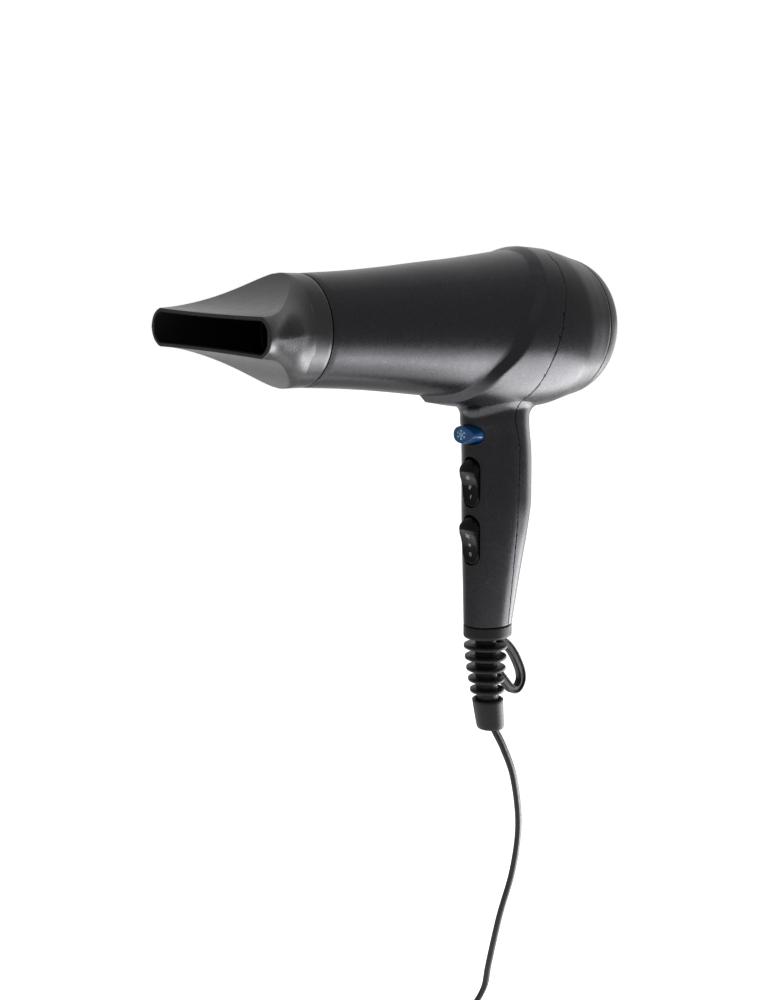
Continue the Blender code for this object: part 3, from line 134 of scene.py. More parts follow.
def eased(table, place):
    """Interpolation with a tangent that runs on from one stretch of the table to the next."""
    rows = np.array(sorted(table))
    xs, ys = rows[:, 0], rows[:, 1]
    slope = np.diff(ys) / np.diff(xs)
    tangent = np.empty(len(xs))
    tangent[0], tangent[-1] = slope[0], slope[-1]
    before, after = slope[:-1], slope[1:]
    same = before * after > 0
    tangent[1:-1] = np.where(same, 2 * before * after / np.where(same, before + after, 1), 0)
    place = np.clip(np.asarray(place, dtype=float), xs[0], xs[-1])
    i = np.clip(np.searchsorted(xs, place) - 1, 0, len(xs) - 2)
    width = xs[i + 1] - xs[i]
    t = (place - xs[i]) / width
    return ((2 * t**3 - 3 * t**2 + 1) * ys[i] + (t**3 - 2 * t**2 + t) * width * tangent[i]
            + (3 * t**2 - 2 * t**3) * ys[i + 1] + (t**3 - t**2) * width * tangent[i + 1])


def ramp(value, round_share):
    """A straight rise from 0 to 1 whose two corners are rounded."""
    t = np.clip(value, 0, 1)
    e = round_share
    low = t**2 / (2 * e * (1 - e))
    high = 1 - (1 - t)**2 / (2 * e * (1 - e))
    return np.where(t < e, low, np.where(t > 1 - e, high, (t - e / 2) / (1 - e)))


def smooth(value):
    t = np.clip(value, 0, 1)
    return t * t * (3 - 2 * t)


def turn_angles(count):
    return 2 * np.pi * np.arange(count) / count


def points_of(*axes):
    """Three arrays of coordinates as one array of points."""
    return np.stack(np.broadcast_arrays(*axes), axis=-1)


# ---------------------------------------------------------------- modelling helpers
def power_of(value, power):
    """A power of the size of a value, with the value's sign."""
    return np.sign(value) * np.abs(value)**power


def unit(vectors):
    return vectors / np.linalg.norm(vectors, axis=-1, keepdims=True)


def clear_selection():
    if bpy.context.mode != "OBJECT":
        bpy.ops.object.mode_set(mode="OBJECT")
    bpy.ops.object.select_all(action="DESELECT")


def select_only(*pieces):
    clear_selection()
    for piece in pieces:
        piece.select_set(True)
    bpy.context.view_layer.objects.active = pieces[0]


def named(name):
    piece = bpy.context.object
    piece.name = piece.data.name = name
    return piece


def set_points(piece, points):
    piece.data.vertices.foreach_set("co", np.asarray(points, dtype=np.float32).ravel())
    piece.data.update()


def get_points(piece):
    flat = np.empty(3 * len(piece.data.vertices), dtype=np.float32)
    piece.data.vertices.foreach_get("co", flat)
    return flat.reshape(-1, 3).astype(float)


@contextmanager
def editing(action="SELECT"):
    """The active piece in edit mode, with all of it or nothing of it selected."""
    bpy.ops.object.mode_set(mode="EDIT")
    bpy.ops.mesh.select_all(action=action)
    yield
    bpy.ops.object.mode_set(mode="OBJECT")


def delete_where(piece, kind, doomed):
    """Deletes the vertices or faces of the active piece for which doomed says so."""
    bpy.ops.object.mode_set(mode="EDIT")
    bpy.ops.mesh.select_mode(type=kind)
    bpy.ops.mesh.select_all(action="DESELECT")
    bpy.ops.object.mode_set(mode="OBJECT")
    for item in piece.data.vertices if kind == "VERT" else piece.data.polygons:
        item.select = doomed(item)
    bpy.ops.object.mode_set(mode="EDIT")
    bpy.ops.mesh.delete(type=kind)
    bpy.ops.object.mode_set(mode="OBJECT")


def wrapped(name, rows, loop=False):
    """A grid whose rows go round a piece; its ends are filled, or meet where it is a loop."""
    rows = np.asarray(rows, dtype=float)
    sheet = np.concatenate([rows, rows[:, :1]], axis=1)
    if loop:
        sheet = np.concatenate([sheet, sheet[:1]], axis=0)
    down, across = sheet.shape[0] - 1, sheet.shape[1] - 1
    clear_selection()
    bpy.ops.mesh.primitive_grid_add(x_subdivisions=across, y_subdivisions=down, size=1)
    piece = named(name)
    flat = get_points(piece)
    column = np.rint((flat[:, 0] + 0.5) * across).astype(int)
    row = np.rint((flat[:, 1] + 0.5) * down).astype(int)
    set_points(piece, sheet[row, column] + (0, 0, AXIS_HEIGHT))
    with editing():
        bpy.ops.mesh.remove_doubles(threshold=1e-7)
        if not loop:
            bpy.ops.mesh.fill_holes(sides=0)
        bpy.ops.mesh.normals_make_consistent(inside=False)
    return piece


def turned(name, profile, count):
    """A closed profile of (radius, place along the barrel's axis) taken once round."""
    angles = turn_angles(count)
    radius, along = np.array(profile, dtype=float).T[:, :, None]
    return wrapped(name, points_of(along, radius * np.sin(angles), radius * np.cos(angles)), loop=True)


def prism(name, outline, low, high, axis, height=AXIS_HEIGHT):
    """An outline across X or Y, filled and drawn out from one place on that axis to another."""
    order = {"X": (2, 0, 1), "Y": (0, 2, 1)}[axis]
    flat = np.column_stack([np.array(outline, dtype=float), np.full(len(outline), low)])[:, order]
    clear_selection()
    bpy.ops.mesh.primitive_circle_add(vertices=len(outline), radius=1, fill_type="NGON")
    piece = named(name)
    set_points(piece, flat + (0, 0, height))
    move = [0.0, 0.0, 0.0]
    move["XYZ".index(axis)] = high - low
    with editing():
        bpy.ops.mesh.extrude_region_move(TRANSFORM_OT_translate={"value": move})
        bpy.ops.mesh.select_all(action="SELECT")
        bpy.ops.mesh.normals_make_consistent(inside=False)
    return piece


def copied(piece, name):
    select_only(piece)
    bpy.ops.object.duplicate()
    return named(name)


def with_modifier(piece, kind, **settings):
    select_only(piece)
    bpy.ops.object.modifier_add(type=kind)
    step = piece.modifiers[-1]
    for key, value in settings.items():
        setattr(step, key, value)
    bpy.ops.object.modifier_apply(modifier=step.name)


def combined(piece, tool, operation):
    """A boolean of a piece and a tool, which is used up."""
    with_modifier(piece, "BOOLEAN", operation=operation, object=tool, solver="EXACT")
    bpy.data.objects.remove(tool, do_unlink=True)
    return piece


def merged(name, pieces):
    """Several pieces joined into one object."""
    select_only(*pieces)
    bpy.ops.object.join()
    return named(name)


def bevel_sharp(piece, width, chosen):
    """Bevels the edges between faces that meet at more than 50 degrees, where chosen says so."""
    select_only(piece)
    bpy.ops.object.mode_set(mode="EDIT")
    bpy.ops.mesh.select_mode(type="EDGE")
    bpy.ops.mesh.select_all(action="DESELECT")
    bpy.ops.mesh.edges_select_sharp(sharpness=math.radians(50))
    bpy.ops.object.mode_set(mode="OBJECT")
    places = get_points(piece)
    data = piece.data
    for edge in data.edges:
        if edge.select and not chosen(places[edge.vertices[0]], places[edge.vertices[1]]):
            edge.select = False
    for polygon in data.polygons:
        polygon.select = False
    for vertex in data.vertices:
        vertex.select = False
    for edge in data.edges:
        if edge.select:
            data.vertices[edge.vertices[0]].select = data.vertices[edge.vertices[1]].select = True
    bpy.ops.object.mode_set(mode="EDIT")
    bpy.ops.mesh.bevel(offset=width, segments=2, affect="EDGES", clamp_overlap=False)
    bpy.ops.mesh.select_mode(type="VERT")
    bpy.ops.object.mode_set(mode="OBJECT")


def dressed(piece, body, finishes, replaces=(), angle=40):
    """Shades a piece, gives it its finishes and hangs it on its body."""
    select_only(piece)
    bpy.ops.object.shade_smooth_by_angle(angle=math.radians(angle))
    piece.data.materials.clear()
    for item in finishes.split():
        piece.data.materials.append(finish(item))
    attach(piece, body)
    if replaces:
        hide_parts(*replaces)
    return piece


# ---------------------------------------------------------------- finishes
def feed(tree, socket, value):
    """Links a socket to another node's, or gives it a value of its own."""
    if isinstance(value, bpy.types.NodeSocket):
        tree.links.new(value, socket)
    else:
        socket.default_value = value


def new_node(tree, kind, settings=None, **inputs):
    """A shader node with its settings, and its inputs by name."""
    made = tree.nodes.new("ShaderNode" + kind)
    for key, value in (settings or {}).items():
        setattr(made, key, value)
    for key, value in inputs.items():
        feed(tree, made.inputs[key.replace("_", " ")], value)
    return made


def feed_all(tree, made, *values):
    """Feeds a node's inputs in their order, and gives its first output."""
    for socket, value in zip(made.inputs, values):
        feed(tree, socket, value)
    return made.outputs[0]


def bare_tree(owner):
    """The node tree of a material or world, without its nodes."""
    owner.use_nodes = True
    owner.node_tree.nodes.clear()
    return owner.node_tree


class Finish:
    """A Principled material whose node tree is built one named step at a time."""

    def __init__(self, name, colour, roughness, **sockets):
        self.material = bpy.data.materials.new(name)
        self.material.use_nodes = True
        self.tree = self.material.node_tree
        self.shader = self.tree.nodes["Principled BSDF"]
        self.shader.inputs["Base Color"].default_value = (*colour, 1.0)
        self.shader.inputs["Roughness"].default_value = roughness
        for socket, value in sockets.items():
            self.shader.inputs[socket.replace("_", " ")].default_value = value
        self.place = self.tree.nodes.new("ShaderNodeTexCoord").outputs["Object"]

    def node(self, kind, settings=None, **inputs):
        return new_node(self.tree, kind, settings, **inputs)

    def noise(self, scale, detail=2.0, place=None):
        return self.node("TexNoise", Vector=place or self.place, Scale=scale, Detail=detail).outputs["Fac"]

    def spread(self, value, low, high, out_low, out_high):
        return self.node("MapRange", Value=value, From_Min=low, From_Max=high, To_Min=out_low,
                         To_Max=out_high).outputs["Result"]

    def blend(self, share, first, second):
        mix = self.node("Mix", {"data_type": "RGBA"})
        for place, value in ((0, share), (6, first), (7, second)):
            feed(self.tree, mix.inputs[place],
                 value if isinstance(value, bpy.types.NodeSocket) else (*value, 1.0))
        return mix.outputs[2]

    def colour(self, value):
        self.tree.links.new(value, self.shader.inputs["Base Color"])

    def roughness(self, value):
        self.tree.links.new(value, self.shader.inputs["Roughness"])

    def bump(self, height, strength, distance):
        made = self.node("Bump", Height=height, Strength=strength, Distance=distance)
        self.tree.links.new(made.outputs["Normal"], self.shader.inputs["Normal"])


def flake_paint(name, colour, roughness, metallic, sparkle):
    """Satin metallic paint: fine flakes that glint, over a soft orange-peel texture."""
    made = Finish(name, colour, roughness, Metallic=metallic)
    flakes = made.node("TexVoronoi", Vector=made.place, Scale=2600.0)
    glint = made.spread(flakes.outputs["Color"], 0.62, 0.95, 0.0, 1.0)
    cloud = made.noise(90.0)
    base = made.blend(cloud, [c * 0.94 for c in colour], [c * 1.06 for c in colour])
    share = feed_all(made.tree, made.node("Math", {"operation": "MULTIPLY"}), glint, sparkle)
    made.colour(made.blend(share, base, [c * 3.2 for c in colour]))
    made.roughness(made.spread(made.noise(260.0), 0.3, 0.7, roughness - 0.02, roughness + 0.03))
    made.bump(made.noise(1900.0, 3.0), 0.10, 0.00004)
    return made.material


def moulded(name, colour, roughness, grain=1200.0, depth=0.00003, **sockets):
    """Moulded plastic or rubber with a fine matte texture and slight unevenness."""
    made = Finish(name, colour, roughness, **sockets)
    cloud = made.noise(70.0)
    made.colour(made.blend(cloud, [c * 0.88 for c in colour], [min(c * 1.12, 1.0) for c in colour]))
    made.roughness(made.spread(made.noise(320.0), 0.3, 0.7, max(roughness - 0.05, 0.03),
                               min(roughness + 0.06, 1.0)))
    made.bump(made.noise(grain, 3.0), 0.25, depth)
    return made.material


def polished(name, colour, roughness, **sockets):
    """Glossy plastic with faint handling marks."""
    made = Finish(name, colour, roughness, **sockets)
    smear = made.noise(45.0, 4.0)
    made.roughness(made.spread(smear, 0.35, 0.75, roughness, roughness + 0.07))
    made.colour(made.blend(smear, [c * 0.95 for c in colour], [min(c * 1.06, 1.0) for c in colour]))
    made.bump(made.noise(24.0), 0.05, 0.0001)
    return made.material


def metal(name, colour, roughness, stretch=(1.0, 1.0, 1.0)):
    """Drawn or turned metal with fine lines across it."""
    made = Finish(name, colour, roughness, Metallic=1.0)
    along = made.node("Mapping", Vector=made.place, Scale=stretch).outputs["Vector"]
    lines = made.noise(900.0, 3.0, along)
    made.roughness(made.spread(lines, 0.3, 0.7, roughness - 0.06, roughness + 0.10))
    made.colour(made.blend(made.noise(60.0), [c * 0.86 for c in colour], colour))
    made.bump(lines, 0.15, 0.00003)
    return made.material


FINISHES = {}


def finish(name):
    """A finish of the palette, made once and shared."""
    if name not in FINISHES:
        paint = bpy.context.scene.hair_dryer_paint
        charcoal = tuple(paint.charcoal)
        makers = {
            "shell_charcoal": lambda: flake_paint(name, charcoal, paint.roughness, paint.metallic,
                                                  paint.sparkle),
            "nozzle_grey": lambda: flake_paint(name, tuple(paint.nozzle_grey), paint.nozzle_roughness,
                                               paint.metallic, paint.sparkle * 0.3),
            "rim_grey": lambda: flake_paint(name, tuple(paint.rim_grey), 0.34, 0.5, paint.sparkle * 0.5),
            "soft_black": lambda: moulded(name, (0.014, 0.014, 0.015), 0.55),
            # Painted shade: near-black, rough and dull, put on the inside faces of the grey nozzle where
            # shadow falls.
            "throat_black": lambda: moulded(name, (0.004, 0.004, 0.004), 0.80, Specular_IOR_Level=0.2),
            "gloss_black": lambda: polished(name, (0.006, 0.006, 0.007), 0.16, Specular_IOR_Level=0.16,
                                            Coat_Weight=0.10, Coat_Roughness=0.06),
            "button_blue": lambda: polished(name, tuple(paint.button_blue), 0.16, Coat_Weight=0.5,
                                            Coat_Roughness=0.08),
            "mark_pale_blue": lambda: moulded(name, (0.46, 0.72, 1.00), 0.45),
            "mark_grey": lambda: moulded(name, (0.52, 0.52, 0.53), 0.45),
            "boot_black": lambda: moulded(name, tuple(paint.rubber), 0.36, grain=700.0, depth=0.00005,
                                          Specular_IOR_Level=0.28),
            "cord_black": lambda: moulded(name, tuple(paint.rubber), 0.40, grain=900.0, depth=0.00004,
                                          Specular_IOR_Level=0.4),
            "steel": lambda: metal(name, (0.55, 0.56, 0.58), 0.28, (0.15, 1.0, 1.0)),
            "brass": lambda: metal(name, (0.72, 0.55, 0.25), 0.26, (1.0, 1.0, 0.15)),
            "heating_wire": lambda: metal(name, (0.44, 0.41, 0.38), 0.38),
            "copper_winding": lambda: metal(name, (0.66, 0.31, 0.16), 0.34, (1.0, 0.12, 1.0)),
            "mica": lambda: moulded(name, (0.52, 0.44, 0.30), 0.50, grain=240.0, depth=0.0001),
            "board_green": lambda: moulded(name, (0.03, 0.15, 0.06), 0.42),
            "pale_plastic": lambda: moulded(name, (0.62, 0.61, 0.57), 0.45),
            "red_lead": lambda: moulded(name, (0.42, 0.03, 0.02), 0.42),
            "blue_lead": lambda: moulded(name, (0.02, 0.04, 0.22), 0.42),
            "magnet": lambda: moulded(name, (0.06, 0.06, 0.065), 0.6, grain=500.0, depth=0.0001),
        }
        FINISHES[name] = makers[name]()
    return FINISHES[name]


# ---------------------------------------------------------------- shapes of the shells
def from_top(angle):
    """Degrees from the top, the same on both sides."""
    return np.degrees(np.where(angle > np.pi, 2 * np.pi - angle, angle))


def body_foot(angle):
    """Where the collar's ramp starts, at an angle from the top."""
    return eased(COLLAR_EDGE, from_top(angle))


def ramp_width(angle, width):
    return width * eased(RAMP_SHARE, from_top(angle))


def body_radius(x, angle, width):
    rise = ramp((x - body_foot(angle)) / ramp_width(angle, width), 0.14)
    low, high = eased(BARREL_PROFILE, x), eased(HOUSING_PROFILE, x)
    return low + (high - low) * rise


def bore_radius(x):
    low, high = straight(BARREL_PROFILE, x) - WALL, straight(HOUSING_PROFILE, x) - WALL
    return low + (high - low) * smooth((x - BORE_STEP[0]) / (BORE_STEP[1] - BORE_STEP[0]))


def ring_at(x, radius, angle):
    return points_of(x, radius * np.sin(angle), radius * np.cos(angle))


def body_skin(width):
    """The barrel and housing as one closed skin: outside, rear edge, bore, neck and front edge."""
    angle = turn_angles(192)
    foot, reach = body_foot(angle), ramp_width(angle, width)
    chamfer = 0.00045
    rows = []

    def outside(x, inset=0.0):
        x = np.broadcast_to(x, angle.shape)
        rows.append(ring_at(x, body_radius(x, angle, width) - inset, angle))

    outside(OUTLET_X, chamfer)
    outside(OUTLET_X + chamfer * 0.3, chamfer * 0.3)
    for share in np.linspace(0, 1, 34)[:-1]:
        outside(OUTLET_X + chamfer + (foot - OUTLET_X - chamfer) * share)
    for share in (0, 0.07, 0.14, 0.32, 0.5, 0.68, 0.86, 0.93):
        outside(foot + share * reach)
    for share in np.linspace(0, 1, 42):
        outside(foot + reach + (SHELL_END_X - chamfer - foot - reach) * share)
    outside(SHELL_END_X - chamfer * 0.3, chamfer * 0.3)
    outside(SHELL_END_X, chamfer)
    for x in (SHELL_END_X, 0.042, 0.034, 0.024, *np.linspace(BORE_STEP[1], BORE_STEP[0], 5), -0.010,
              -0.0235, -0.037, -0.0595, -0.082, -0.107, OUTLET_X + WALL):
        rows.append(ring_at(x, bore_radius(x), angle))
    neck_end = OUTLET_X - NECK_LENGTH
    for x, radius in ((OUTLET_X + WALL, NECK_BORE), (neck_end, NECK_BORE),
                      (neck_end, NECK_RADIUS - 0.0004), (neck_end + 0.0004, NECK_RADIUS),
                      (OUTLET_X, NECK_RADIUS)):
        rows.append(ring_at(x, radius, angle))
    return wrapped("body_skin", rows, loop=True)


def handle_wall(z, angle, inset=0.0):
    """Points on the handle's oval wall at a height, or at one height for each angle."""
    front, rear = eased(HANDLE_FRONT, z), eased(HANDLE_REAR, z)
    reach = (rear - front) / 2 - inset
    side = HANDLE_ASPECT * (rear - front) / 2 - inset
    return points_of((front + rear) / 2 + reach * np.cos(angle), side * np.sin(angle), z)


def housing_underside(points, width, depth):
    """The height of the housing's underside, depth inside its skin, over points on the level plane."""
    x, y = points[..., 0], points[..., 1]
    z = np.full(x.shape, -0.040)
    for _ in range(4):
        angle = np.arctan2(np.abs(y), z)
        radius = body_radius(x, angle, width) - depth
        z = -np.sqrt(np.maximum(radius**2 - y**2, 1e-8))
    return z


def handle_skin(width, fillet):
    """The handle's outside, with a round fillet at its top that runs up to the housing."""
    angle = turn_angles(128)
    start = np.full(angle.shape, HANDLE_TOP)
    bury = 0.00025
    reach = np.linspace(0, 1, 60)[:, None] * fillet
    for _ in range(4):
        wall = handle_wall(start, angle)
        outward = unit(points_of(np.cos(angle) * HANDLE_ASPECT, np.sin(angle), 0))
        line = wall[None] + reach[:, :, None] * outward[None]
        under = housing_underside(line, width, 0.0)
        low, high = under.min(axis=0) - 2 * fillet, under.max(axis=0)
        for _ in range(30):
            centre = (low + high) / 2
            gap = np.sqrt((reach - fillet)**2 + (under - centre)**2).min(axis=0)
            close = gap < fillet - bury
            high, low = np.where(close, centre, high), np.where(close, low, centre)
        start = (low + high) / 2
    nearest = np.argmin(np.sqrt((reach - fillet)**2 + (under - start)**2), axis=0)
    away = fillet - reach[nearest, 0]
    rise = under[nearest, np.arange(len(angle))] - start
    sweep = np.arctan2(rise, away) + np.radians(7)
    rows = [handle_wall(HANDLE_BOTTOM, angle, 0.0003), handle_wall(HANDLE_BOTTOM + 0.0003, angle)]
    for share in np.linspace(0, 1, 46)[1:-1]:
        rows.append(handle_wall(HANDLE_BOTTOM + 0.0003 + (start - HANDLE_BOTTOM - 0.0003) * share, angle))
    for share in np.linspace(0, 1, 13):
        turn = sweep * share
        shift = (fillet * (1 - np.cos(turn)))[:, None] * outward
        rows.append(wall + shift + points_of(0, 0, fillet * np.sin(turn)))
    last = rows[-1]
    middle = last.mean(axis=0)
    for share in (0.96, 0.75, 0.4, 0.05):
        inner = middle + (last - middle) * share
        inner[:, 2] = housing_underside(inner, width, WALL / 2)
        rows.append(inner)
    return wrapped("handle_skin", rows)


def seam_outline(forward, gap):
    """The outline, from the side, of everything before the seam or behind it."""
    heights = np.concatenate([np.linspace(0.070, -0.062, 100), [-0.175]])
    side = -1 if forward else 1
    edge = [(x + side * gap / 2, z) for x, z in zip(eased(SEAM_LINE, heights), heights)]
    far = -0.17 if forward else 0.07
    return [*edge, (far, heights[-1]), (far, heights[0])]


def handle_edges(z):
    """The handle's front and rear at a height."""
    return float(eased(HANDLE_FRONT, z)), float(eased(HANDLE_REAR, z))


def stadium(width, height):
    radius, reach = width / 2, height / 2 - width / 2
    angle = np.pi * np.arange(25) / 24
    top = np.column_stack([radius * np.cos(angle), reach + radius * np.sin(angle)])
    return [tuple(point) for point in np.concatenate([top, -top])]


def oval(width, height, count=64):
    """An oval a little squarer than an ellipse."""
    angle = turn_angles(count)
    return list(zip(width / 2 * power_of(np.cos(angle), 0.8), height / 2 * power_of(np.sin(angle), 0.8)))


def raised(outline, height):
    return [(a, b + height) for a, b in outline]


def rod(name, radius, x_low, x_high, z):
    """A plain post along X, for bosses and for cutting holes."""
    clear_selection()
    bpy.ops.mesh.primitive_cylinder_add(vertices=32, radius=radius, depth=x_high - x_low,
                                        location=((x_low + x_high) / 2, 0, z + AXIS_HEIGHT),
                                        rotation=(0, math.pi / 2, 0))
    piece = named(name)
    bpy.ops.object.transform_apply(location=True, rotation=True, scale=True)
    return piece


# ---------------------------------------------------------------- the cord's route
def relief_centre(z):
    """The boot bends a little towards the side to which the cord is pulled."""
    share = max(0.0, (DISC_TOP - z) / (DISC_TOP - CUFF_BOTTOM))
    return Vector((RELIEF_X, 0, z)) + LEAN * CUFF_SHIFT * share**2


def side_on(across, z, layer=0.0):
    centre = relief_centre(CUFF_BOTTOM)
    return Vector((centre.x, centre.y, z)) + LEAN * across + THROUGH * layer


def coil_points():
    """Loops in two layers: in on the first, a climb of half a turn, and out on the second."""
    per_turn, count = COIL_LOOP_POINTS, COIL_LAYER_TURNS * COIL_LOOP_POINTS
    climb = per_turn // 2
    start, step = math.radians(30), 2 * math.pi / per_turn
    turns = [(start + step * i, COIL_INNER + COIL_STEP * (COIL_LAYER_TURNS - i / per_turn), 0.0)
             for i in range(count + 1)]
    turns += [(start + step * (count + i), COIL_INNER, i / climb) for i in range(1, climb + 1)]
    turns += [(start + step * (count + climb + i), COIL_INNER + COIL_STEP * i / per_turn, 1.0)
              for i in range(1, count - climb + 1)]
    return [side_on(-r * math.sin(a), r * math.cos(a) - COIL_CENTRE_DROP, COIL_LAYER_STEP * layer)
            for a, r, layer in turns]


def cord_route(diameter):
    """Out of the cuff, down into the coil behind, round it, and down to the plug."""
    coil = coil_points()
    stop = coil[0]
    bend = COIL_INNER + COIL_STEP * COIL_LAYER_TURNS
    top = CUFF_BOTTOM + CUFF_BORE_DEPTH - 0.0003
    route = [side_on(0.0010, top), side_on(0.0012, top - diameter)]
    route += [side_on(across, CUFF_BOTTOM - drop) for across, drop in
              ((0.0030, 0.0030), (0.0073, 0.0120), (0.0130, 0.0290), (0.0160, 0.0560),
               (0.0130, 0.0830), (0.0060, 0.1100))]
    low = math.radians(60)
    for degrees in (0, 20, 40, 56):
        turn = math.radians(degrees)
        route.append(stop + LEAN * bend * (math.cos(turn) - math.cos(low))
                     + Vector((0, 0, bend * (math.sin(low) - math.sin(turn)))))
    out = (coil[-1] - coil[-2]).normalized()
    end = side_on(-0.037, -COIL_CENTRE_DROP - 0.012, 0.0235)
    tail = [coil[-1] + out * diameter]
    tail += [side_on(across, height - COIL_CENTRE_DROP, layer) for across, height, layer in
             ((-0.0330, 0.0270, 0.0090), (-0.0366, 0.0150, 0.0155), (-0.0370, 0.0030, 0.0213))]
    tail += [end + Vector((0, 0, diameter)), end]
    return [*route, *coil, *tail]


def resampled(route, spacing):
    """Evenly spaced points on a Catmull-Rom curve through the route."""
    route = np.array(route)
    padded = np.concatenate([[2 * route[0] - route[1]], route, [2 * route[-1] - route[-2]]])
    t = np.linspace(0, 1, 13)[:-1, None]
    fine = [0.5 * (2 * a + (b - before) * t + (2 * before - 5 * a + 4 * b - after) * t**2
                   + (3 * a - before - 3 * b + after) * t**3)
            for before, a, b, after in zip(padded, padded[1:], padded[2:], padded[3:])]
    fine = np.concatenate([*fine, route[-1:]])
    length = np.concatenate([[0], np.cumsum(np.linalg.norm(np.diff(fine, axis=0), axis=1))])
    even = np.linspace(0, length[-1], max(2, round(length[-1] / spacing)) + 1)
    return np.column_stack([np.interp(even, length, fine[:, i]) for i in range(3)]), length[-1]


def twin_outline(width, thickness):
    """The section of a flat cord with two cores: two round sides with a shallow waist between."""
    angle = turn_angles(24)
    c, s = np.cos(angle), np.sin(angle)
    lobe = (width - thickness) / 2
    across = np.sign(c) * lobe * smooth(np.abs(c) * 1.6) + thickness / 2 * c
    waist = 1 - 0.24 * np.exp(-(across / (thickness * 0.22))**2)
    return np.column_stack([across, thickness / 2 * s * waist])


# ---------------------------------------------------------------- sizes and colours to change
def metres(name, description, default):
    return bpy.props.FloatProperty(name=name, description=description, default=default, unit="LENGTH")


def factor(name, description, default):
    return bpy.props.FloatProperty(name=name, description=description, default=default, subtype="FACTOR")


def watts(name, description, default):
    return bpy.props.FloatProperty(name=name, description=description, default=default, unit="POWER")


def tint(name, description, default):
    return bpy.props.FloatVectorProperty(name=name, description=description, default=default,
                                         subtype="COLOR", size=3)


class HairDryerShell(bpy.types.PropertyGroup):
    collar_width: metres("Collar ramp", "Width of the ramp where the barrel enters the housing", 0.0058)
    handle_fillet: metres("Handle fillet", "Radius of the fillet between handle and housing", 0.0080)
    seam_gap: metres("Seam gap", "Gap between the two shells", 0.00040)
    seam_chamfer: metres("Seam chamfer", "Broken edge along the seam", 0.00024)


class HairDryerCord(bpy.types.PropertyGroup):
    width: metres("Width", "Wide side of the flat cord", 0.0056)
    thickness: metres("Thickness", "Narrow side of the flat cord", 0.0034)
    route_diameter: metres("End run", "Straight run at each end of the cord", 0.00460)


class HairDryerPaint(bpy.types.PropertyGroup):
    charcoal: tint("Charcoal", "Colour of the shells", (0.060, 0.060, 0.065))
    nozzle_grey: tint("Nozzle grey", "Colour of the nozzle", (0.090, 0.090, 0.095))
    rim_grey: tint("Rim grey", "Colour of the rear cover", (0.085, 0.086, 0.090))
    button_blue: tint("Button blue", "Colour of the cool-shot button", (0.010, 0.100, 0.300))
    rubber: tint("Rubber", "Colour of boot and cord", (0.012, 0.012, 0.0125))
    roughness: factor("Shell roughness", "How matte the shells are", 0.28)
    nozzle_roughness: factor("Nozzle roughness", "How matte the nozzle is", 0.28)
    metallic: factor("Metallic", "Share of metal flake in the paint", 0.92)
    sparkle: factor("Sparkle", "How bright the flakes glint", 0.22)


class HairDryerStage(bpy.types.PropertyGroup):
    floor_height: metres("Floor height", "Height of the floor", -0.400)
    key_power: watts("Overhead light", "Power of the large overhead light", 12.0)
    floor_power: watts("Low lights", "Power of the lights from low on the right", 2.8)
    world_strength: bpy.props.FloatProperty(
        name="Room light", description="Strength of the even light of the room", default=0.55)


# ---------------------------------------------------------------- operators
class HAIR_DRYER_OT_camera(bpy.types.Operator):
    """Sets the camera at the dryer's nozzle side, a little above it"""
    bl_idname = "hair_dryer.camera"
    bl_label = "Camera"

    PLACE = (-0.47515, -0.45276, 0.10688)
    YAW, PITCH, ROLL = 41.136, 8.56, -0.262
    LENS, SENSOR = 44.2, 36.0

    def execute(self, context):
        yaw, pitch, roll = math.radians(self.YAW), math.radians(self.PITCH), math.radians(self.ROLL)
        forward = Vector((math.cos(pitch) * math.sin(yaw), math.cos(pitch) * math.cos(yaw),
                          -math.sin(pitch)))
        right = Vector((math.cos(yaw), -math.sin(yaw), 0))
        up = right.cross(forward)
        right = right * math.cos(roll) + up * math.sin(roll)
        up = right.cross(forward)
        clear_selection()
        bpy.ops.object.camera_add(location=self.PLACE)
        camera = bpy.context.object
        camera.name = camera.data.name = "camera"
        camera.rotation_euler = Matrix((right, up, -forward)).transposed().to_euler()
        camera.data.lens = self.LENS
        camera.data.sensor_width = self.SENSOR
        camera.data.clip_start = 0.01
        context.scene.camera = camera
        return {"FINISHED"}


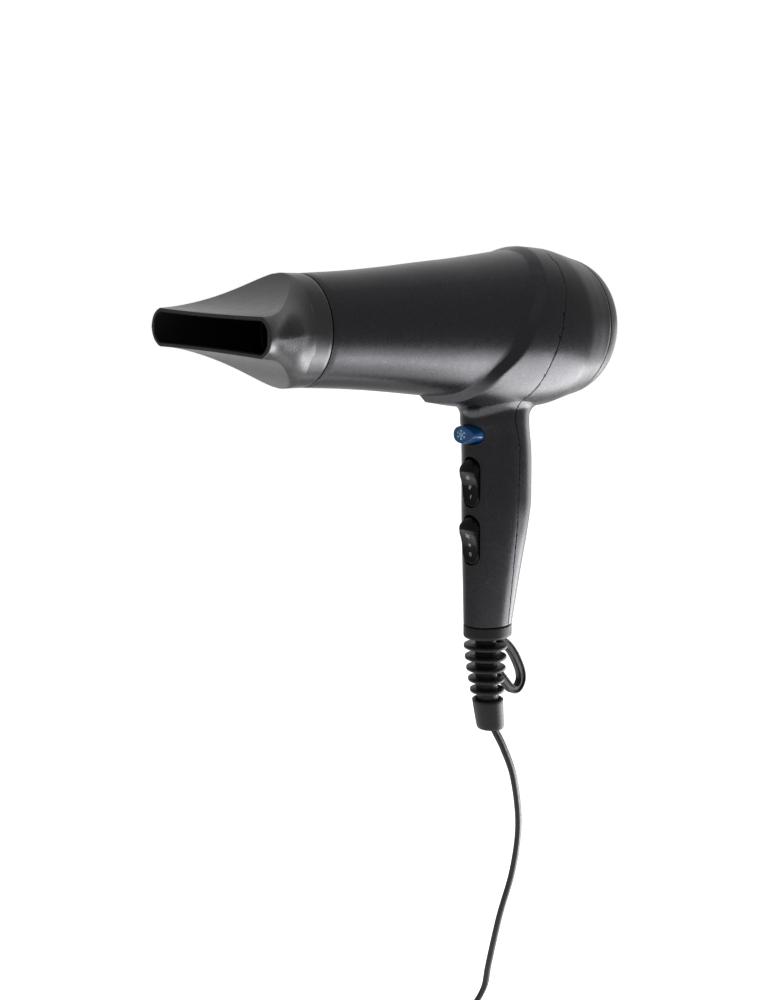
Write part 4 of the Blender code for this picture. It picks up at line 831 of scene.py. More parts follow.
class HAIR_DRYER_OT_cord(bpy.types.Operator):
    """Makes the flat mains cord, the tie round its coil and its plug"""
    bl_idname = "hair_dryer.cord"
    bl_label = "Cord and plug"

    def execute(self, context):
        size = context.scene.hair_dryer_cord
        route = cord_route(size.route_diameter)
        path, length = resampled(route, 0.0034)
        plug = self.plug(Vector(route[-1]))
        tie = self.tie()
        ahead = unit(np.gradient(path, axis=0))
        wide = unit(np.array(THROUGH) - ahead * (ahead @ np.array(THROUGH))[:, None])
        thin = np.cross(ahead, wide)
        wide, thin = (wide * math.cos(CORD_TURN) + thin * math.sin(CORD_TURN),
                      thin * math.cos(CORD_TURN) - wide * math.sin(CORD_TURN))
        outline = twin_outline(size.width, size.thickness)
        rows = path[:, None] + wide[:, None] * outline[None, :, :1] + thin[:, None] * outline[None, :, 1:]
        cord = wrapped("mains_cord_flat", rows)
        dressed(cord, "housing", "cord_black", ("mains_cord", "cord_coil", "cord_tail"))
        return {"FINISHED"}

    def plug(self, top):
        """A moulded two-pin plug with a ribbed sleeve and a finger waist."""
        angle = turn_angles(64)
        c, s = np.cos(angle), np.sin(angle)
        wide = [(0.0, 0.0040), (0.0006, 0.0046), (0.0100, 0.0052), (0.0135, 0.0060), (0.0170, 0.0088),
                (0.0205, 0.0128), (0.0250, 0.0158), (0.0300, 0.0172), (0.0345, 0.0176), (0.0360, 0.0168)]
        deep = [(0.0, 0.0034), (0.0006, 0.0040), (0.0100, 0.0045), (0.0135, 0.0050), (0.0170, 0.0064),
                (0.0205, 0.0084), (0.0250, 0.0104), (0.0300, 0.0122), (0.0345, 0.0130), (0.0360, 0.0122)]
        lean, across = np.array(LEAN), np.array(THROUGH)
        start = np.array(top) - (0, 0, 0.0003)
        rows = []
        for drop in np.concatenate([np.linspace(0, 0.0130, 66), np.linspace(0.0134, PLUG_LENGTH, 40)]):
            rib = 1.0
            if 0.0012 < drop < 0.0126:
                rib = 1 - 0.13 * smooth((math.cos(2 * math.pi * (drop - 0.0012) / 0.0019) + 0.25) * 1.6)
            a, b = eased(wide, drop) * rib, eased(deep, drop) * rib
            side, up = a * power_of(c, 0.75), b * power_of(s, 0.75)
            rows.append(start + (0, 0, -drop) + lean * side[:, None] + across * up[:, None])
        body = wrapped("plug_body", rows)
        for side in (-1, 1):
            foot = start + lean * side * PIN_OFFSET - (0, 0, PLUG_LENGTH)
            clear_selection()
            bpy.ops.mesh.primitive_cylinder_add(vertices=32, radius=0.0027, depth=0.0080,
                                                location=foot + (0, 0, AXIS_HEIGHT + 0.0020))
            hole = named("plug_hole")
            bpy.ops.object.transform_apply(location=True, rotation=True, scale=True)
            combined(body, hole, "DIFFERENCE")
        return dressed(body, "housing", "boot_black", ("plug",))

    def tie(self):
        """A strap round the coil's bundle of turns, with a pinched end."""
        outer = COIL_INNER + COIL_STEP * (COIL_LAYER_TURNS + 0.5)
        inner = COIL_INNER - COIL_STEP * 0.7
        middle, angle = (outer + inner) / 2, math.radians(200)
        radial = LEAN * -math.sin(angle) + Vector((0, 0, math.cos(angle)))
        tangent = radial.cross(THROUGH)
        centre = side_on(0, -COIL_CENTRE_DROP, COIL_LAYER_STEP / 2) + radial * middle
        tall, deep = (outer - inner) / 2 + 0.0012, COIL_LAYER_STEP / 2 + 0.0033
        turn = turn_angles(72)
        c, s = np.cos(turn), np.sin(turn)
        out_r, out_t = power_of(c, 0.4), power_of(s, 0.4)
        rows = []
        for step, grow in ((-0.0047, 0.0010), (-0.0050, 0.0007), (-0.0050, 0.0002), (-0.0048, 0.0),
                           (0.0048, 0.0), (0.0050, 0.0002), (0.0050, 0.0007), (0.0047, 0.0010),
                           (0.0020, 0.0011), (-0.0020, 0.0011)):
            rows.append(np.array(centre) + np.array(tangent) * step
                        + np.array(radial) * ((tall + grow - 0.0002) * out_r)[:, None]
                        + np.array(THROUGH) * ((deep + grow - 0.0002) * out_t)[:, None])
        band = wrapped("cord_strap", rows, loop=True)
        return dressed(band, "housing", "boot_black", ("cord_tie",))


class HAIR_DRYER_OT_housing(bpy.types.Operator):
    """Makes the front and the rear shell of barrel, housing and handle"""
    bl_idname = "hair_dryer.housing"
    bl_label = "Housing shells"

    def execute(self, context):
        size = context.scene.hair_dryer_shell
        front = combined(body_skin(size.collar_width), handle_skin(size.collar_width, size.handle_fillet),
                         "UNION")
        angle = turn_angles(96)
        grip = wrapped("grip_bore", [handle_wall(z, angle, WALL) + (0, 0, z - max(z, HANDLE_BOTTOM))
                                     for z in np.linspace(HANDLE_BOTTOM - 0.003, -0.0480, 30)]
                       + [handle_wall(HANDLE_TOP, angle, WALL) + (0, 0, 0.0185)])
        combined(front, grip, "DIFFERENCE")
        rear = copied(front, "housing_rear")
        for shell, forward in ((front, True), (rear, False)):
            side = prism("seam_side", seam_outline(forward, size.seam_gap), -0.08, 0.08, "Y")
            combined(shell, side, "INTERSECT")
        self.open_front(front)
        self.add_screw_posts(front, rear)
        for shell in (front, rear):
            bevel_sharp(shell, size.seam_chamfer, self.on_seam)
        dressed(front, "housing", "shell_charcoal", ("front_shell",))
        dressed(rear, "housing", "shell_charcoal", ("rear_shell",))
        front.name = front.data.name = "housing_front"
        return {"FINISHED"}

    def open_front(self, front):
        for name, z in ROCKER_HEIGHTS.items():
            hole = stadium(ROCKER_WIDTH + 0.0010, 2 * ROCKER_REACH + 0.0010)
            cutter = prism(name, raised(hole, z), -0.030, ROCKER_PIVOT_X + 0.001, "X")
            combined(front, cutter, "DIFFERENCE")
        hole = raised(oval(BUTTON_WIDTH + 0.0008, BUTTON_HEIGHT + 0.0008), BUTTON_HEIGHT_Z)
        combined(front, prism("button_hole", hole, -0.030, BUTTON_FLANGE_X + 0.0003, "X"), "DIFFERENCE")

    def add_screw_posts(self, front, rear):
        for z in SCREW_HEIGHTS:
            seam = float(eased(SEAM_LINE, z))
            near, far = handle_edges(z)
            combined(front, rod("post", POST_RADIUS, near + WALL / 2, seam - 0.0036, z), "UNION")
            combined(rear, rod("post", POST_RADIUS, seam + 0.0030, far - WALL / 2, z), "UNION")
            combined(front, rod("pilot", PILOT_RADIUS, near + 2 * WALL, seam, z), "DIFFERENCE")
            combined(rear, rod("hole", PILOT_RADIUS, seam, far, z), "DIFFERENCE")
            combined(rear, rod("pocket", POCKET_RADIUS, far - 2 * WALL, far + 0.002, z), "DIFFERENCE")

    @staticmethod
    def on_seam(a, b):
        """Whether an edge lies on the seam, on the outer skin."""
        for point in (a, b):
            z = point[2] - AXIS_HEIGHT
            if abs(point[0] - float(eased(SEAM_LINE, z))) > 0.0006:
                return False
            if z > -0.046:
                if math.hypot(point[1], z) < float(bore_radius(point[0])) + WALL * 0.6:
                    return False
            else:
                near, far = handle_edges(z)
                share = (point[0] - (near + far) / 2) / ((far - near) / 2)
                if abs(point[1]) < HANDLE_ASPECT * (far - near) / 2 * math.sqrt(1 - share**2) - 0.0010:
                    return False
        return True


class HAIR_DRYER_OT_nozzle(bpy.types.Operator):
    """Makes the flat nozzle and the guard in the outlet behind it"""
    bl_idname = "hair_dryer.nozzle"
    bl_label = "Nozzle"

    def section(self, x, share, inset, keel=0.0):
        """A round collar that fans out sideways and is cut flat above and below."""
        spread = ((share + smooth(share)) / 2)**FAN_WIDENS
        half_width = OUTLET_RING + (SLOT_WIDTH / 2 - OUTLET_RING) * spread - inset
        fan = OUTLET_RING - (OUTLET_RING - FAN_HEIGHT) * share**FAN_SINKS - inset
        flat = SLOT_HEIGHT / 2 + (OUTLET_RING - SLOT_HEIGHT / 2) * (1 - share)**FLAT_SINKS - inset
        angle = turn_angles(240)
        power = 2 / (2 + share)
        y, z = half_width * power_of(np.cos(angle), power), fan * power_of(np.sin(angle), power)
        if share > 0:
            limit = flat * (1 - 0.07 * share * (1 - (y / half_width)**2))
            soft = 0.0028 * (1 - share)**2 + 0.0003
            tall = np.abs(z)
            lower = (tall + limit - np.sqrt((tall - limit)**2 + soft**2)) / 2
            lower += soft / 2 * np.minimum(tall / limit, 1)
            z = np.sign(z) * np.minimum(lower, limit)
        y = y + np.sign(y) * keel * np.maximum(0, 1 - np.abs(z) / KEEL_HEIGHT)**2 - SLOT_SHIFT * share
        c, s = math.cos(NOZZLE_TURN), math.sin(NOZZLE_TURN)
        return points_of(x, c * y - s * z, s * y + c * z)

    def execute(self, context):
        back = OUTLET_X - 0.0004
        start, mouth = OUTLET_X - GAP - NOZZLE_COLLAR, OUTLET_X - GAP - NOZZLE_LENGTH
        rows = [self.section(back, 0, 0.0006), self.section(back - 0.00018, 0, 0.00018),
                self.section(back - 0.0006, 0, 0)]
        rows += [self.section(back - 0.0006 + (start - back + 0.0006) * t, 0, 0, 0.0003 * t)
                 for t in np.linspace(0, 1, 8)[1:]]
        for t in np.linspace(0, 1, 80)[1:]:
            keel = 0.0003 + 0.0007 * smooth(t * 2.5)
            rows.append(self.section(start + (mouth + 0.0005 - start) * t, t, 0, keel))
        rows += [self.section(mouth + 0.00015, 1, 0.00015, 0.0010), self.section(mouth, 1, 0.0005, 0.0009),
                 self.section(mouth, 1, NOZZLE_WALL - 0.0004),
                 self.section(mouth + 0.0004, 1, NOZZLE_WALL)]
        step = OUTLET_RING - NECK_BORE
        for t in np.linspace(1, 0.36, 30)[1:]:
            inset = NOZZLE_WALL + (step - NOZZLE_WALL) * (1 - smooth(t)) * 0.8
            rows.append(self.section(start + (mouth - start) * t, t, inset))
        neck_end, sleeve = OUTLET_X - NECK_LENGTH - GAP, OUTLET_RING - NECK_RADIUS - GAP
        rows += [self.section(neck_end, 0, step), self.section(neck_end, 0, sleeve),
                 self.section(back, 0, sleeve)]
        nozzle = wrapped("nozzle_flat", rows, loop=True)
        # The second finish paints the shadowed inside of the nozzle near-black (painted shade).
        dressed(nozzle, "nozzle", "nozzle_grey throat_black",
                ("concentrator_nozzle",), angle=24)
        self.paint_inside_shade(nozzle, mouth)
        self.guard()
        return {"FINISHED"}

    def paint_inside_shade(self, nozzle, mouth):
        """The faces that look inwards, behind the mouth, take the second finish: painted shade, a near-black
        that stands in for the shadow inside the grey nozzle.
        """
        for face in nozzle.data.polygons:
            centre, normal = face.center, face.normal
            outward = normal.y * centre.y + normal.z * (centre.z - AXIS_HEIGHT)
            if outward < 0 and centre.x > mouth + 0.0001 and abs(normal.x) < 0.95:
                face.material_index = 1

    def guard(self):
        """Rings and spokes of the outlet guard."""
        pieces = []
        for radius, width in GUARD_RINGS:
            profile = [(radius + width * share, x) for share, x in
                       ((-0.5, -0.1370), (-0.5, -0.1386), (-0.25, -0.1390),
                        (0.25, -0.1390), (0.5, -0.1386), (0.5, -0.1370))]
            pieces.append(turned("guard_ring", profile, 72))
        for i in range(6):
            pieces.append(spoke("guard_spoke", 0.0030, 0.0205, 0.0018, -0.1387, -0.1372, math.pi * i / 3))
        guard = merged("outlet_guard", pieces)
        dressed(guard, "housing", "soft_black", ("outlet_grille",))


def spoke(name, inner, outer, width, x_low, x_high, angle):
    """A bar with rounded edges that runs out from the axis."""
    half, round_by = width / 2, width * 0.22
    side = np.array([-half, -half + round_by, half - round_by, half, half, -half])
    x = np.array([x_low + round_by, x_low, x_low, x_low + round_by, x_high, x_high])
    return wrapped(name, [points_of(x, radius * math.sin(angle) + side * math.cos(angle),
                                    radius * math.cos(angle) - side * math.sin(angle))
                          for radius in (inner, outer)])


class HAIR_DRYER_OT_rear_cover(bpy.types.Operator):
    """Makes the rear cover with its grille, and the filter screen behind it"""
    bl_idname = "hair_dryer.rear_cover"
    bl_label = "Rear cover"

    def execute(self, context):
        start, end = SHELL_END_X + 0.0004, SHELL_END_X + GAP + COVER_LENGTH
        outer, lip = COVER_RADIUS, float(bore_radius(SHELL_END_X)) - GAP
        bore = lip - 0.0020
        curve = [(0.0, outer), (0.0035, outer - 0.0008), (0.0078, outer - 0.0026), (0.0098, outer - 0.0045),
                 (0.0106, outer - 0.0058), (0.0109, COVER_RIM + 0.0012)]
        length = end - start
        profile = [(lip, start - COVER_FLANGE), (lip, start), (outer - 0.0004, start),
                   (outer - 0.00012, start + 0.0001)]
        for along in np.concatenate([np.linspace(0.0004, 0.0080, 14), np.linspace(0.0083, 0.0109, 12)]):
            profile.append((float(eased(curve, along)), start + along * length / 0.0109))
        profile += [(COVER_RIM, end), (COVER_RIM - 0.0005, end - 0.0002), (COVER_RIM - 0.0007, end - 0.0008),
                    (COVER_RIM - 0.0012, end - 0.0028), (bore, end - 0.0028),
                    (bore, start - COVER_FLANGE)]
        pieces = [turned("cover_rim", profile, 160)]
        front, back = end - 0.0027, end - 0.0008
        half = 0.0007
        for radius in GRILLE_RINGS:
            ring = [(radius + half, front), (radius + half, back - 0.0005), (radius + half * 0.5, back),
                    (radius - half * 0.5, back), (radius - half, back - 0.0005), (radius - half, front)]
            pieces.append(turned("cover_ring", ring, 120))
        for i in range(6):
            pieces.append(spoke("cover_spoke", 0.0040, 0.0294, 0.0018, front, end - 0.0009,
                                math.pi * (2 * i + 1) / 6))
        dome = [(0.0001, front), (0.0061, front), (0.0061, back - 0.0006), (0.0054, back - 0.0001),
                (0.0036, back + 0.0003), (0.0001, back + 0.0005)]
        pieces.append(turned("cover_hub", dome[::-1], 64))
        cover = merged("rear_grille", pieces)
        dressed(cover, "rear_cover", "rim_grey", ("inlet_cover",))
        self.screen(SHELL_END_X + COVER_LENGTH - 0.0034)
        return {"FINISHED"}

    def screen(self, x):
        """A fine net in a ring."""
        clear_selection()
        bpy.ops.mesh.primitive_grid_add(x_subdivisions=SCREEN_CELLS, y_subdivisions=SCREEN_CELLS,
                                        size=SCREEN_SIZE)
        net = named("filter_screen")
        flat = get_points(net)
        set_points(net, points_of(x, flat[:, 0], flat[:, 1] + AXIS_HEIGHT))
        delete_where(net, "VERT", lambda vertex: math.hypot(vertex.co.y, vertex.co.z - AXIS_HEIGHT)
                     > SCREEN_RADIUS)
        with_modifier(net, "WIREFRAME", thickness=SCREEN_WIRE, use_even_offset=False, use_boundary=True)
        ring = turned("screen_ring", [(0.0325, x - 0.0005), (0.0325, x + 0.0005), (0.0311, x + 0.0005),
                                      (0.0311, x - 0.0005)], 96)
        screen = merged("filter_screen", [net, ring])
        dressed(screen, "rear_cover", "steel", ("lint_filter",))


def surface_marks(name, strokes, surface, lift=0.00005):
    """Printed marks: each stroke of (y, z, width) points lies on a surface given as x(y, z)."""
    pieces = []
    for stroke in strokes:
        stroke = np.array(stroke, dtype=float)
        length = np.linalg.norm(np.diff(stroke[:, :2], axis=0), axis=1).sum()
        count = max(2, int(np.ceil(length / 0.0002)) + 1)
        even = np.linspace(0, len(stroke) - 1, count)
        y, z, width = (np.interp(even, range(len(stroke)), stroke[:, i]) for i in range(3))
        ahead = np.column_stack([np.gradient(y), np.gradient(z)])
        ahead /= np.maximum(np.linalg.norm(ahead, axis=1, keepdims=True), 1e-9)
        side = np.column_stack([-ahead[:, 1], ahead[:, 0]]) * width[:, None] / 2
        rows = []
        for i in range(count):
            left, right = [(y[i] + way * side[i, 0], z[i] + way * side[i, 1]) for way in (1, -1)]
            rows.append([(surface(*place) + off, *place) for place, off in
                         ((left, -lift), (right, -lift), (right, MARK_SINK), (left, MARK_SINK))])
        pieces.append(wrapped(name, rows))
    return merged(name, pieces)


class HAIR_DRYER_OT_rockers(bpy.types.Operator):
    """Makes the two rocker switches with their marks"""
    bl_idname = "hair_dryer.rockers"
    bl_label = "Rocker switches"

    PROFILE = [(-0.0131, -0.0044), (-0.0118, -0.0046), (-0.0077, -0.0049), (-0.0027, -0.0055),
               (0.0010, -0.0064), (0.0040, -0.0078), (0.0062, -0.0086), (0.0078, -0.0083),
               (0.0100, -0.0072), (0.0120, -0.0056), (0.0131, -0.0044)]

    def face(self, y, z):
        """The rocker's front from its pivot: a raised nose above a hollowed face."""
        half = ROCKER_WIDTH / 2
        nose = smooth((z - 0.0020) / 0.0045)
        hollow = 0.00045 * (1 - nose) * (1 - (y / half)**2) * smooth((z + 0.0125) / 0.003)
        crown = 0.0011 * nose * (np.abs(y) / half)**2.2
        return eased(self.PROFILE, z) + hollow + crown

    def execute(self, context):
        for name, height in ROCKER_HEIGHTS.items():
            rocker = self.rocker(name, height)
            body = f"{name}_switch_rocker"
            dressed(rocker, body, "gloss_black", (f"{name}_rocker",), angle=38)
            strokes = self.heat_marks() if name == "heat" else self.fan_marks()
            strokes = [[(y, z + height, width) for y, z, width in stroke] for stroke in strokes]
            marks = surface_marks(f"{name}_marks", strokes, lambda y, z, height=height:
                                  ROCKER_PIVOT_X + float(self.face(y, z - height)), lift=0.00009)
            dressed(marks, body, "mark_grey")
        return {"FINISHED"}

    def rocker(self, name, height):
        radius, reach = ROCKER_WIDTH / 2, ROCKER_REACH - ROCKER_WIDTH / 2
        angle, side = np.linspace(0, math.pi, 41), np.linspace(reach, -reach, 50)[1:-1]
        half = np.concatenate([points_of(radius * np.cos(angle), reach + radius * np.sin(angle), 0)[:, :2],
                               points_of(-radius, side, 0)[:, :2]])
        outline = np.concatenate([half, -half])
        spine = np.clip(outline[:, 1], -reach, reach)
        offset = outline - np.column_stack([0 * spine, spine])
        rows = [points_of(x, outline[:, 0], outline[:, 1] + height) for x in (-0.0002, -0.0025)]
        round_by = 0.0007
        shares = [(1.0, 1.0), (1.0, 0.6), (0.975, 0.3), (0.94, 0.1), (0.88, 0.0)]
        shares += [(share, 0.0) for share in np.linspace(0.80, 0.0, 15)]
        for share, drop in shares:
            y, z = offset[:, 0] * share, spine + offset[:, 1] * share
            rows.append(points_of(self.face(y, z) + drop * round_by, y, z + height))
        rows = np.array(rows)
        rows[:, :, 0] += ROCKER_PIVOT_X
        rocker = wrapped(f"{name}_rocker_key", rows)
        with editing():
            bpy.ops.mesh.remove_doubles(threshold=0.000005)
        tilted = prism("tilted", outline, -0.020, 0.010, "X", height=0.0)
        tilted.data.transform(Matrix.Translation((ROCKER_PIVOT_X, 0, height + AXIS_HEIGHT))
                              @ Matrix.Rotation(-ROCKER_TILT, 4, "Y"))
        return combined(rocker, tilted, "INTERSECT")

    @staticmethod
    def wave(y, z, tall, width):
        steps = np.linspace(0, 1, 13)
        return [(y + 0.22 * tall * math.sin(2 * math.pi * t), z + tall * (t - 0.5), width) for t in steps]

    def heat_marks(self):
        return [self.wave((i - (count - 1) / 2) * 0.00085, z, 0.0021, 0.00036)
                for z, count in ((0.0026, 3), (-0.0026, 2), (-0.0077, 1)) for i in range(count)]

    def fan_marks(self):
        marks = []
        for z, size in ((0.0024, 1.0), (-0.0026, 0.72)):
            for i in range(4):
                turn = math.radians(90 * i + 35)
                stroke = []
                for t in np.linspace(0, 1, 9):
                    angle, reach = turn + 0.75 * t, 0.0014 * size * (0.12 + 0.88 * t)
                    wide = size * (0.00022 + 0.00072 * math.sin(math.pi * min(t * 0.85 + 0.08, 1)))
                    stroke.append((reach * math.cos(angle), z + reach * math.sin(angle), wide))
                marks.append(stroke)
        marks.append([(0.00062 * math.cos(a), -0.0077 + 0.00062 * 1.55 * math.sin(a), 0.00034)
                      for a in np.radians(np.linspace(0, 360, 17))])
        return marks


class HAIR_DRYER_OT_cool_button(bpy.types.Operator):
    """Makes the blue cool-shot button with its snowflake"""
    bl_idname = "hair_dryer.cool_button"
    bl_label = "Cool-shot button"

    FALL = [(0.0, 0.0), (0.0003, 0.00008), (0.0007, 0.0005), (0.0014, 0.0017), (0.0024, 0.0040),
            (0.0036, 0.0060), (0.0090, 0.0100)]
    MARK_Y = 0.0018

    def face(self, y, z):
        """The button's front: a flat drop with its round end on one side, and sides that fall away."""
        z = z - BUTTON_HEIGHT_Z
        tip = self.MARK_Y - 0.0088 * (1 - np.minimum(np.abs(z) / (BUTTON_HEIGHT / 2), 1)**1.6)
        slope = 0.06 * np.maximum(self.MARK_Y - y, 0)
        return BUTTON_FRONT_X - 0.0004 + slope + eased(self.FALL, np.maximum(tip - y, 0))

    def execute(self, context):
        outline = np.array(oval(BUTTON_WIDTH, BUTTON_HEIGHT, 128))
        flange = outline * ((BUTTON_WIDTH - 0.0014) / BUTTON_WIDTH,
                            (BUTTON_HEIGHT + 0.0020) / BUTTON_HEIGHT)
        rows = [points_of(BUTTON_FLANGE_X + behind, flange[:, 0], flange[:, 1] + BUTTON_HEIGHT_Z)
                for behind in (0.0012, 0.0002)]
        rows.append(points_of(BUTTON_FLANGE_X, outline[:, 0], outline[:, 1] + BUTTON_HEIGHT_Z))
        deepest = BUTTON_FLANGE_X - 0.0015
        for share in (1.0, 0.985, 0.965, 0.94, 0.91, 0.87, *np.linspace(0.82, 0.02, 34)):
            y, z = outline[:, 0] * share, outline[:, 1] * share + BUTTON_HEIGHT_Z
            soften = 0.0012 * max(0.0, (share - 0.91) / 0.09)**2
            rows.append(points_of(np.minimum(self.face(y, z) + soften, deepest), y, z))
        button = wrapped("cool_button", rows)
        spring_pocket = rod("spring_pocket", 0.0036, BUTTON_FLANGE_X - 0.0018, BUTTON_FLANGE_X + 0.0040,
                            BUTTON_HEIGHT_Z)
        combined(button, spring_pocket, "DIFFERENCE")
        dressed(button, "cool_shot", "button_blue", ("cool_shot_button",), angle=50)
        flake = surface_marks("snowflake", self.snowflake(), lambda y, z: float(self.face(y, z)))
        dressed(flake, "cool_shot", "mark_pale_blue")
        return {"FINISHED"}

    def snowflake(self):
        strokes, width = [], 0.00050
        middle = np.array([self.MARK_Y, BUTTON_HEIGHT_Z])
        for a in np.radians(90 + 60 * np.arange(6)).tolist():
            out, side = (np.array(way) * (1.15, 1) for way in
                         ((math.cos(a), math.sin(a)), (-math.sin(a), math.cos(a))))
            strokes.append([(*(middle + out * 0.0003), width), (*(middle + out * 0.0027), width)])
            for turn in (-1, 1):
                root = middle + out * 0.0018
                tip = root + (out * 0.75 + side * 0.70 * turn) * 0.0009
                strokes.append([(*root, width), (*tip, width)])
        return strokes


class HAIR_DRYER_OT_boot(bpy.types.Operator):
    """Makes the band that closes the handle and the ribbed boot with its hanging loop"""
    bl_idname = "hair_dryer.boot"
    bl_label = "End band and boot"

    LOOP = [(-0.0010, -0.1706), (0.0045, -0.1710), (0.0085, -0.1732), (0.0140, -0.1793), (0.0186, -0.1872),
            (0.0205, -0.1926), (0.0202, -0.1968), (0.0172, -0.2001), (0.0124, -0.1992), (0.0083, -0.1952),
            (0.0045, -0.1908), (-0.0010, -0.1850)]

    def execute(self, context):
        self.band()
        self.boot()
        return {"FINISHED"}

    def band(self):
        angle = turn_angles(128)
        top, low = HANDLE_BOTTOM - 0.0004, HANDLE_BOTTOM - GAP - END_RING_HEIGHT

        def oval_row(z, inset):
            row = handle_wall(HANDLE_BOTTOM, angle, inset)
            row[:, 2] = z
            return row

        def round_row(z, radius):
            return points_of(RELIEF_X + radius * np.cos(angle), radius * np.sin(angle), z)

        rows = [oval_row(top, 0.0003), oval_row(top - 0.00008, 0.00009), oval_row(top - 0.0003, 0.0)]
        rows += [oval_row(z, 0.0) for z in np.linspace(top - 0.0008, low + 0.0014, 5)]
        rows += [oval_row(low + 0.0014 - 0.0014 * math.sin(t), 0.0014 * (1 - math.cos(t)))
                 for t in np.linspace(0, math.pi / 2, 7)[1:]]
        rows += [oval_row(low, 0.0022), round_row(low, 0.0060), round_row(low + 0.0002, 0.0058),
                 round_row(low + 0.0024, 0.0058), oval_row(low + 0.0024, 0.0043),
                 oval_row(top + 0.0038, 0.0043), oval_row(top + 0.0038, 0.0027), oval_row(top, 0.0027)]
        dressed(wrapped("end_band", rows, loop=True), "housing", "boot_black", ("end_ring",))

    def boot(self):
        low = HANDLE_BOTTOM - GAP - END_RING_HEIGHT
        head = low + 0.0027
        rows = [(head + 0.0022, 0.0070), (head, 0.0070), (head, NECK_OF_RELIEF), (low, NECK_OF_RELIEF),
                (DISC_TOP + 0.0004, NECK_OF_RELIEF), (DISC_TOP + 0.0001, NECK_OF_RELIEF + 0.0005)]
        for i, diameter in enumerate(DISC_DIAMETERS):
            top, radius = DISC_TOP - i * DISC_PITCH, diameter / 2
            bottom = top - DISC_THICKNESS
            rows += [(top, radius - 0.0030), (top - 0.00008, radius - 0.0005),
                     (top - 0.0002, radius - 0.00018),
                     (top - 0.0004, radius), (top - 0.0009, radius + 0.00002), (bottom + 0.0004, radius),
                     (bottom + 0.00015, radius - 0.0002), (bottom, radius - 0.0006),
                     (bottom - 0.0001, RELIEF_CORE + 0.0012), (bottom - 0.0003, RELIEF_CORE + 0.0004),
                     (bottom - 0.0008, RELIEF_CORE)]
            if i < len(DISC_DIAMETERS) - 1:
                rows += [(top - DISC_PITCH + 0.0005, RELIEF_CORE),
                         (top - DISC_PITCH + 0.0001, RELIEF_CORE + 0.0005)]
        lip, end = CUFF_TOP_RADIUS, CUFF_BOTTOM_RADIUS
        rows += [(CUFF_TOP - 0.0022, RELIEF_CORE), (CUFF_TOP - 0.0026, RELIEF_CORE + 0.0004),
                 (CUFF_TOP - 0.0026, lip - 0.0018), (CUFF_TOP - 0.0022, lip - 0.0014),
                 (CUFF_TOP - 0.0003, lip - 0.0012), (CUFF_TOP, lip - 0.0009), (CUFF_TOP, lip - 0.0005),
                 (CUFF_TOP - 0.0003, lip - 0.0001)]
        for t in np.linspace(0.03, 0.92, 12):
            rows.append((CUFF_TOP + (CUFF_BOTTOM - CUFF_TOP) * t, lip + (end - lip) * t))
        rows += [(CUFF_BOTTOM + 0.0007, end - 0.0001), (CUFF_BOTTOM + 0.0002, end - 0.0004),
                 (CUFF_BOTTOM, end - 0.0010), (CUFF_BOTTOM, CUFF_BORE + 0.0004),
                 (CUFF_BOTTOM + 0.0004, CUFF_BORE),
                 (CUFF_BOTTOM + CUFF_BORE_DEPTH, CUFF_BORE)]
        angle = turn_angles(96)
        rings = [np.array(relief_centre(z)) + points_of(radius * np.cos(angle), radius * np.sin(angle), 0)
                 for z, radius in rows]
        boot = merged("cord_boot", [wrapped("cord_boot", rings), self.loop()])
        dressed(boot, "housing", "boot_black", ("strain_relief",), angle=50)

    def loop(self):
        """The hanging loop: a band with a channel in each side, from the first disc back to the core."""
        section = [(-0.00225, -0.0014), (-0.0020, -0.0019), (-0.0016, -0.0021), (-0.0012, -0.0020),
                   (-0.0009, -0.0013), (0.0, -0.0011), (0.0009, -0.0013), (0.0012, -0.0020),
                   (0.0016, -0.0021), (0.0020, -0.0019), (0.00225, -0.0014)]
        section += [(a, -b) for a, b in section[::-1]]
        section = np.array(section) * 1.06
        centre = resampled([(x, 0, z) for x, z in self.LOOP], 0.0005)[0]
        ahead = unit(np.gradient(centre, axis=0))
        out = points_of(-ahead[:, 2], 0, ahead[:, 0])
        rows = centre[:, None] + out[:, None] * section[None, :, :1]
        rows[:, :, 1] += section[None, :, 1]
        return wrapped("hanging_loop", rows)


class HAIR_DRYER_OT_inner_parts(bpy.types.Operator):
    """Gives the parts inside the shells their finishes"""
    bl_idname = "hair_dryer.inner_parts"
    bl_label = "Inner parts"

    FINISH_OF = {
        "motor_mount": "soft_black", "motor_case": "steel", "motor_end_cap": "pale_plastic",
        "bearing_front": "brass", "bearing_rear": "brass", "magnet_upper": "magnet",
        "magnet_lower": "magnet", "armature": "copper_winding", "motor_shaft": "steel",
        "fan_impeller": "pale_plastic", "heater_tube": "mica", "mica_board_upright": "mica",
        "mica_board_level": "mica", "heating_coil": "heating_wire", "thermal_cutout": "steel",
        "thermal_fuse": "pale_plastic", "heat_switch": "soft_black", "speed_switch": "soft_black",
        "cool_shot_spring": "steel", "cool_shot_switch": "soft_black", "switch_board": "board_green",
        "rectifier": "soft_black", "heater_lead_live": "red_lead", "heater_lead_neutral": "blue_lead",
        "supply_lead": "cord_black", "handle_screw_upper": "steel", "handle_screw_lower": "steel",
        "plug_pin_1": "brass", "plug_pin_2": "brass",
    }

    def execute(self, context):
        for name, look in self.FINISH_OF.items():
            node = frame["nodes"][name]
            for item in [node, *node.children_recursive]:
                if item.type == "MESH":
                    item.data.materials.clear()
                    item.data.materials.append(finish(look))
        return {"FINISHED"}


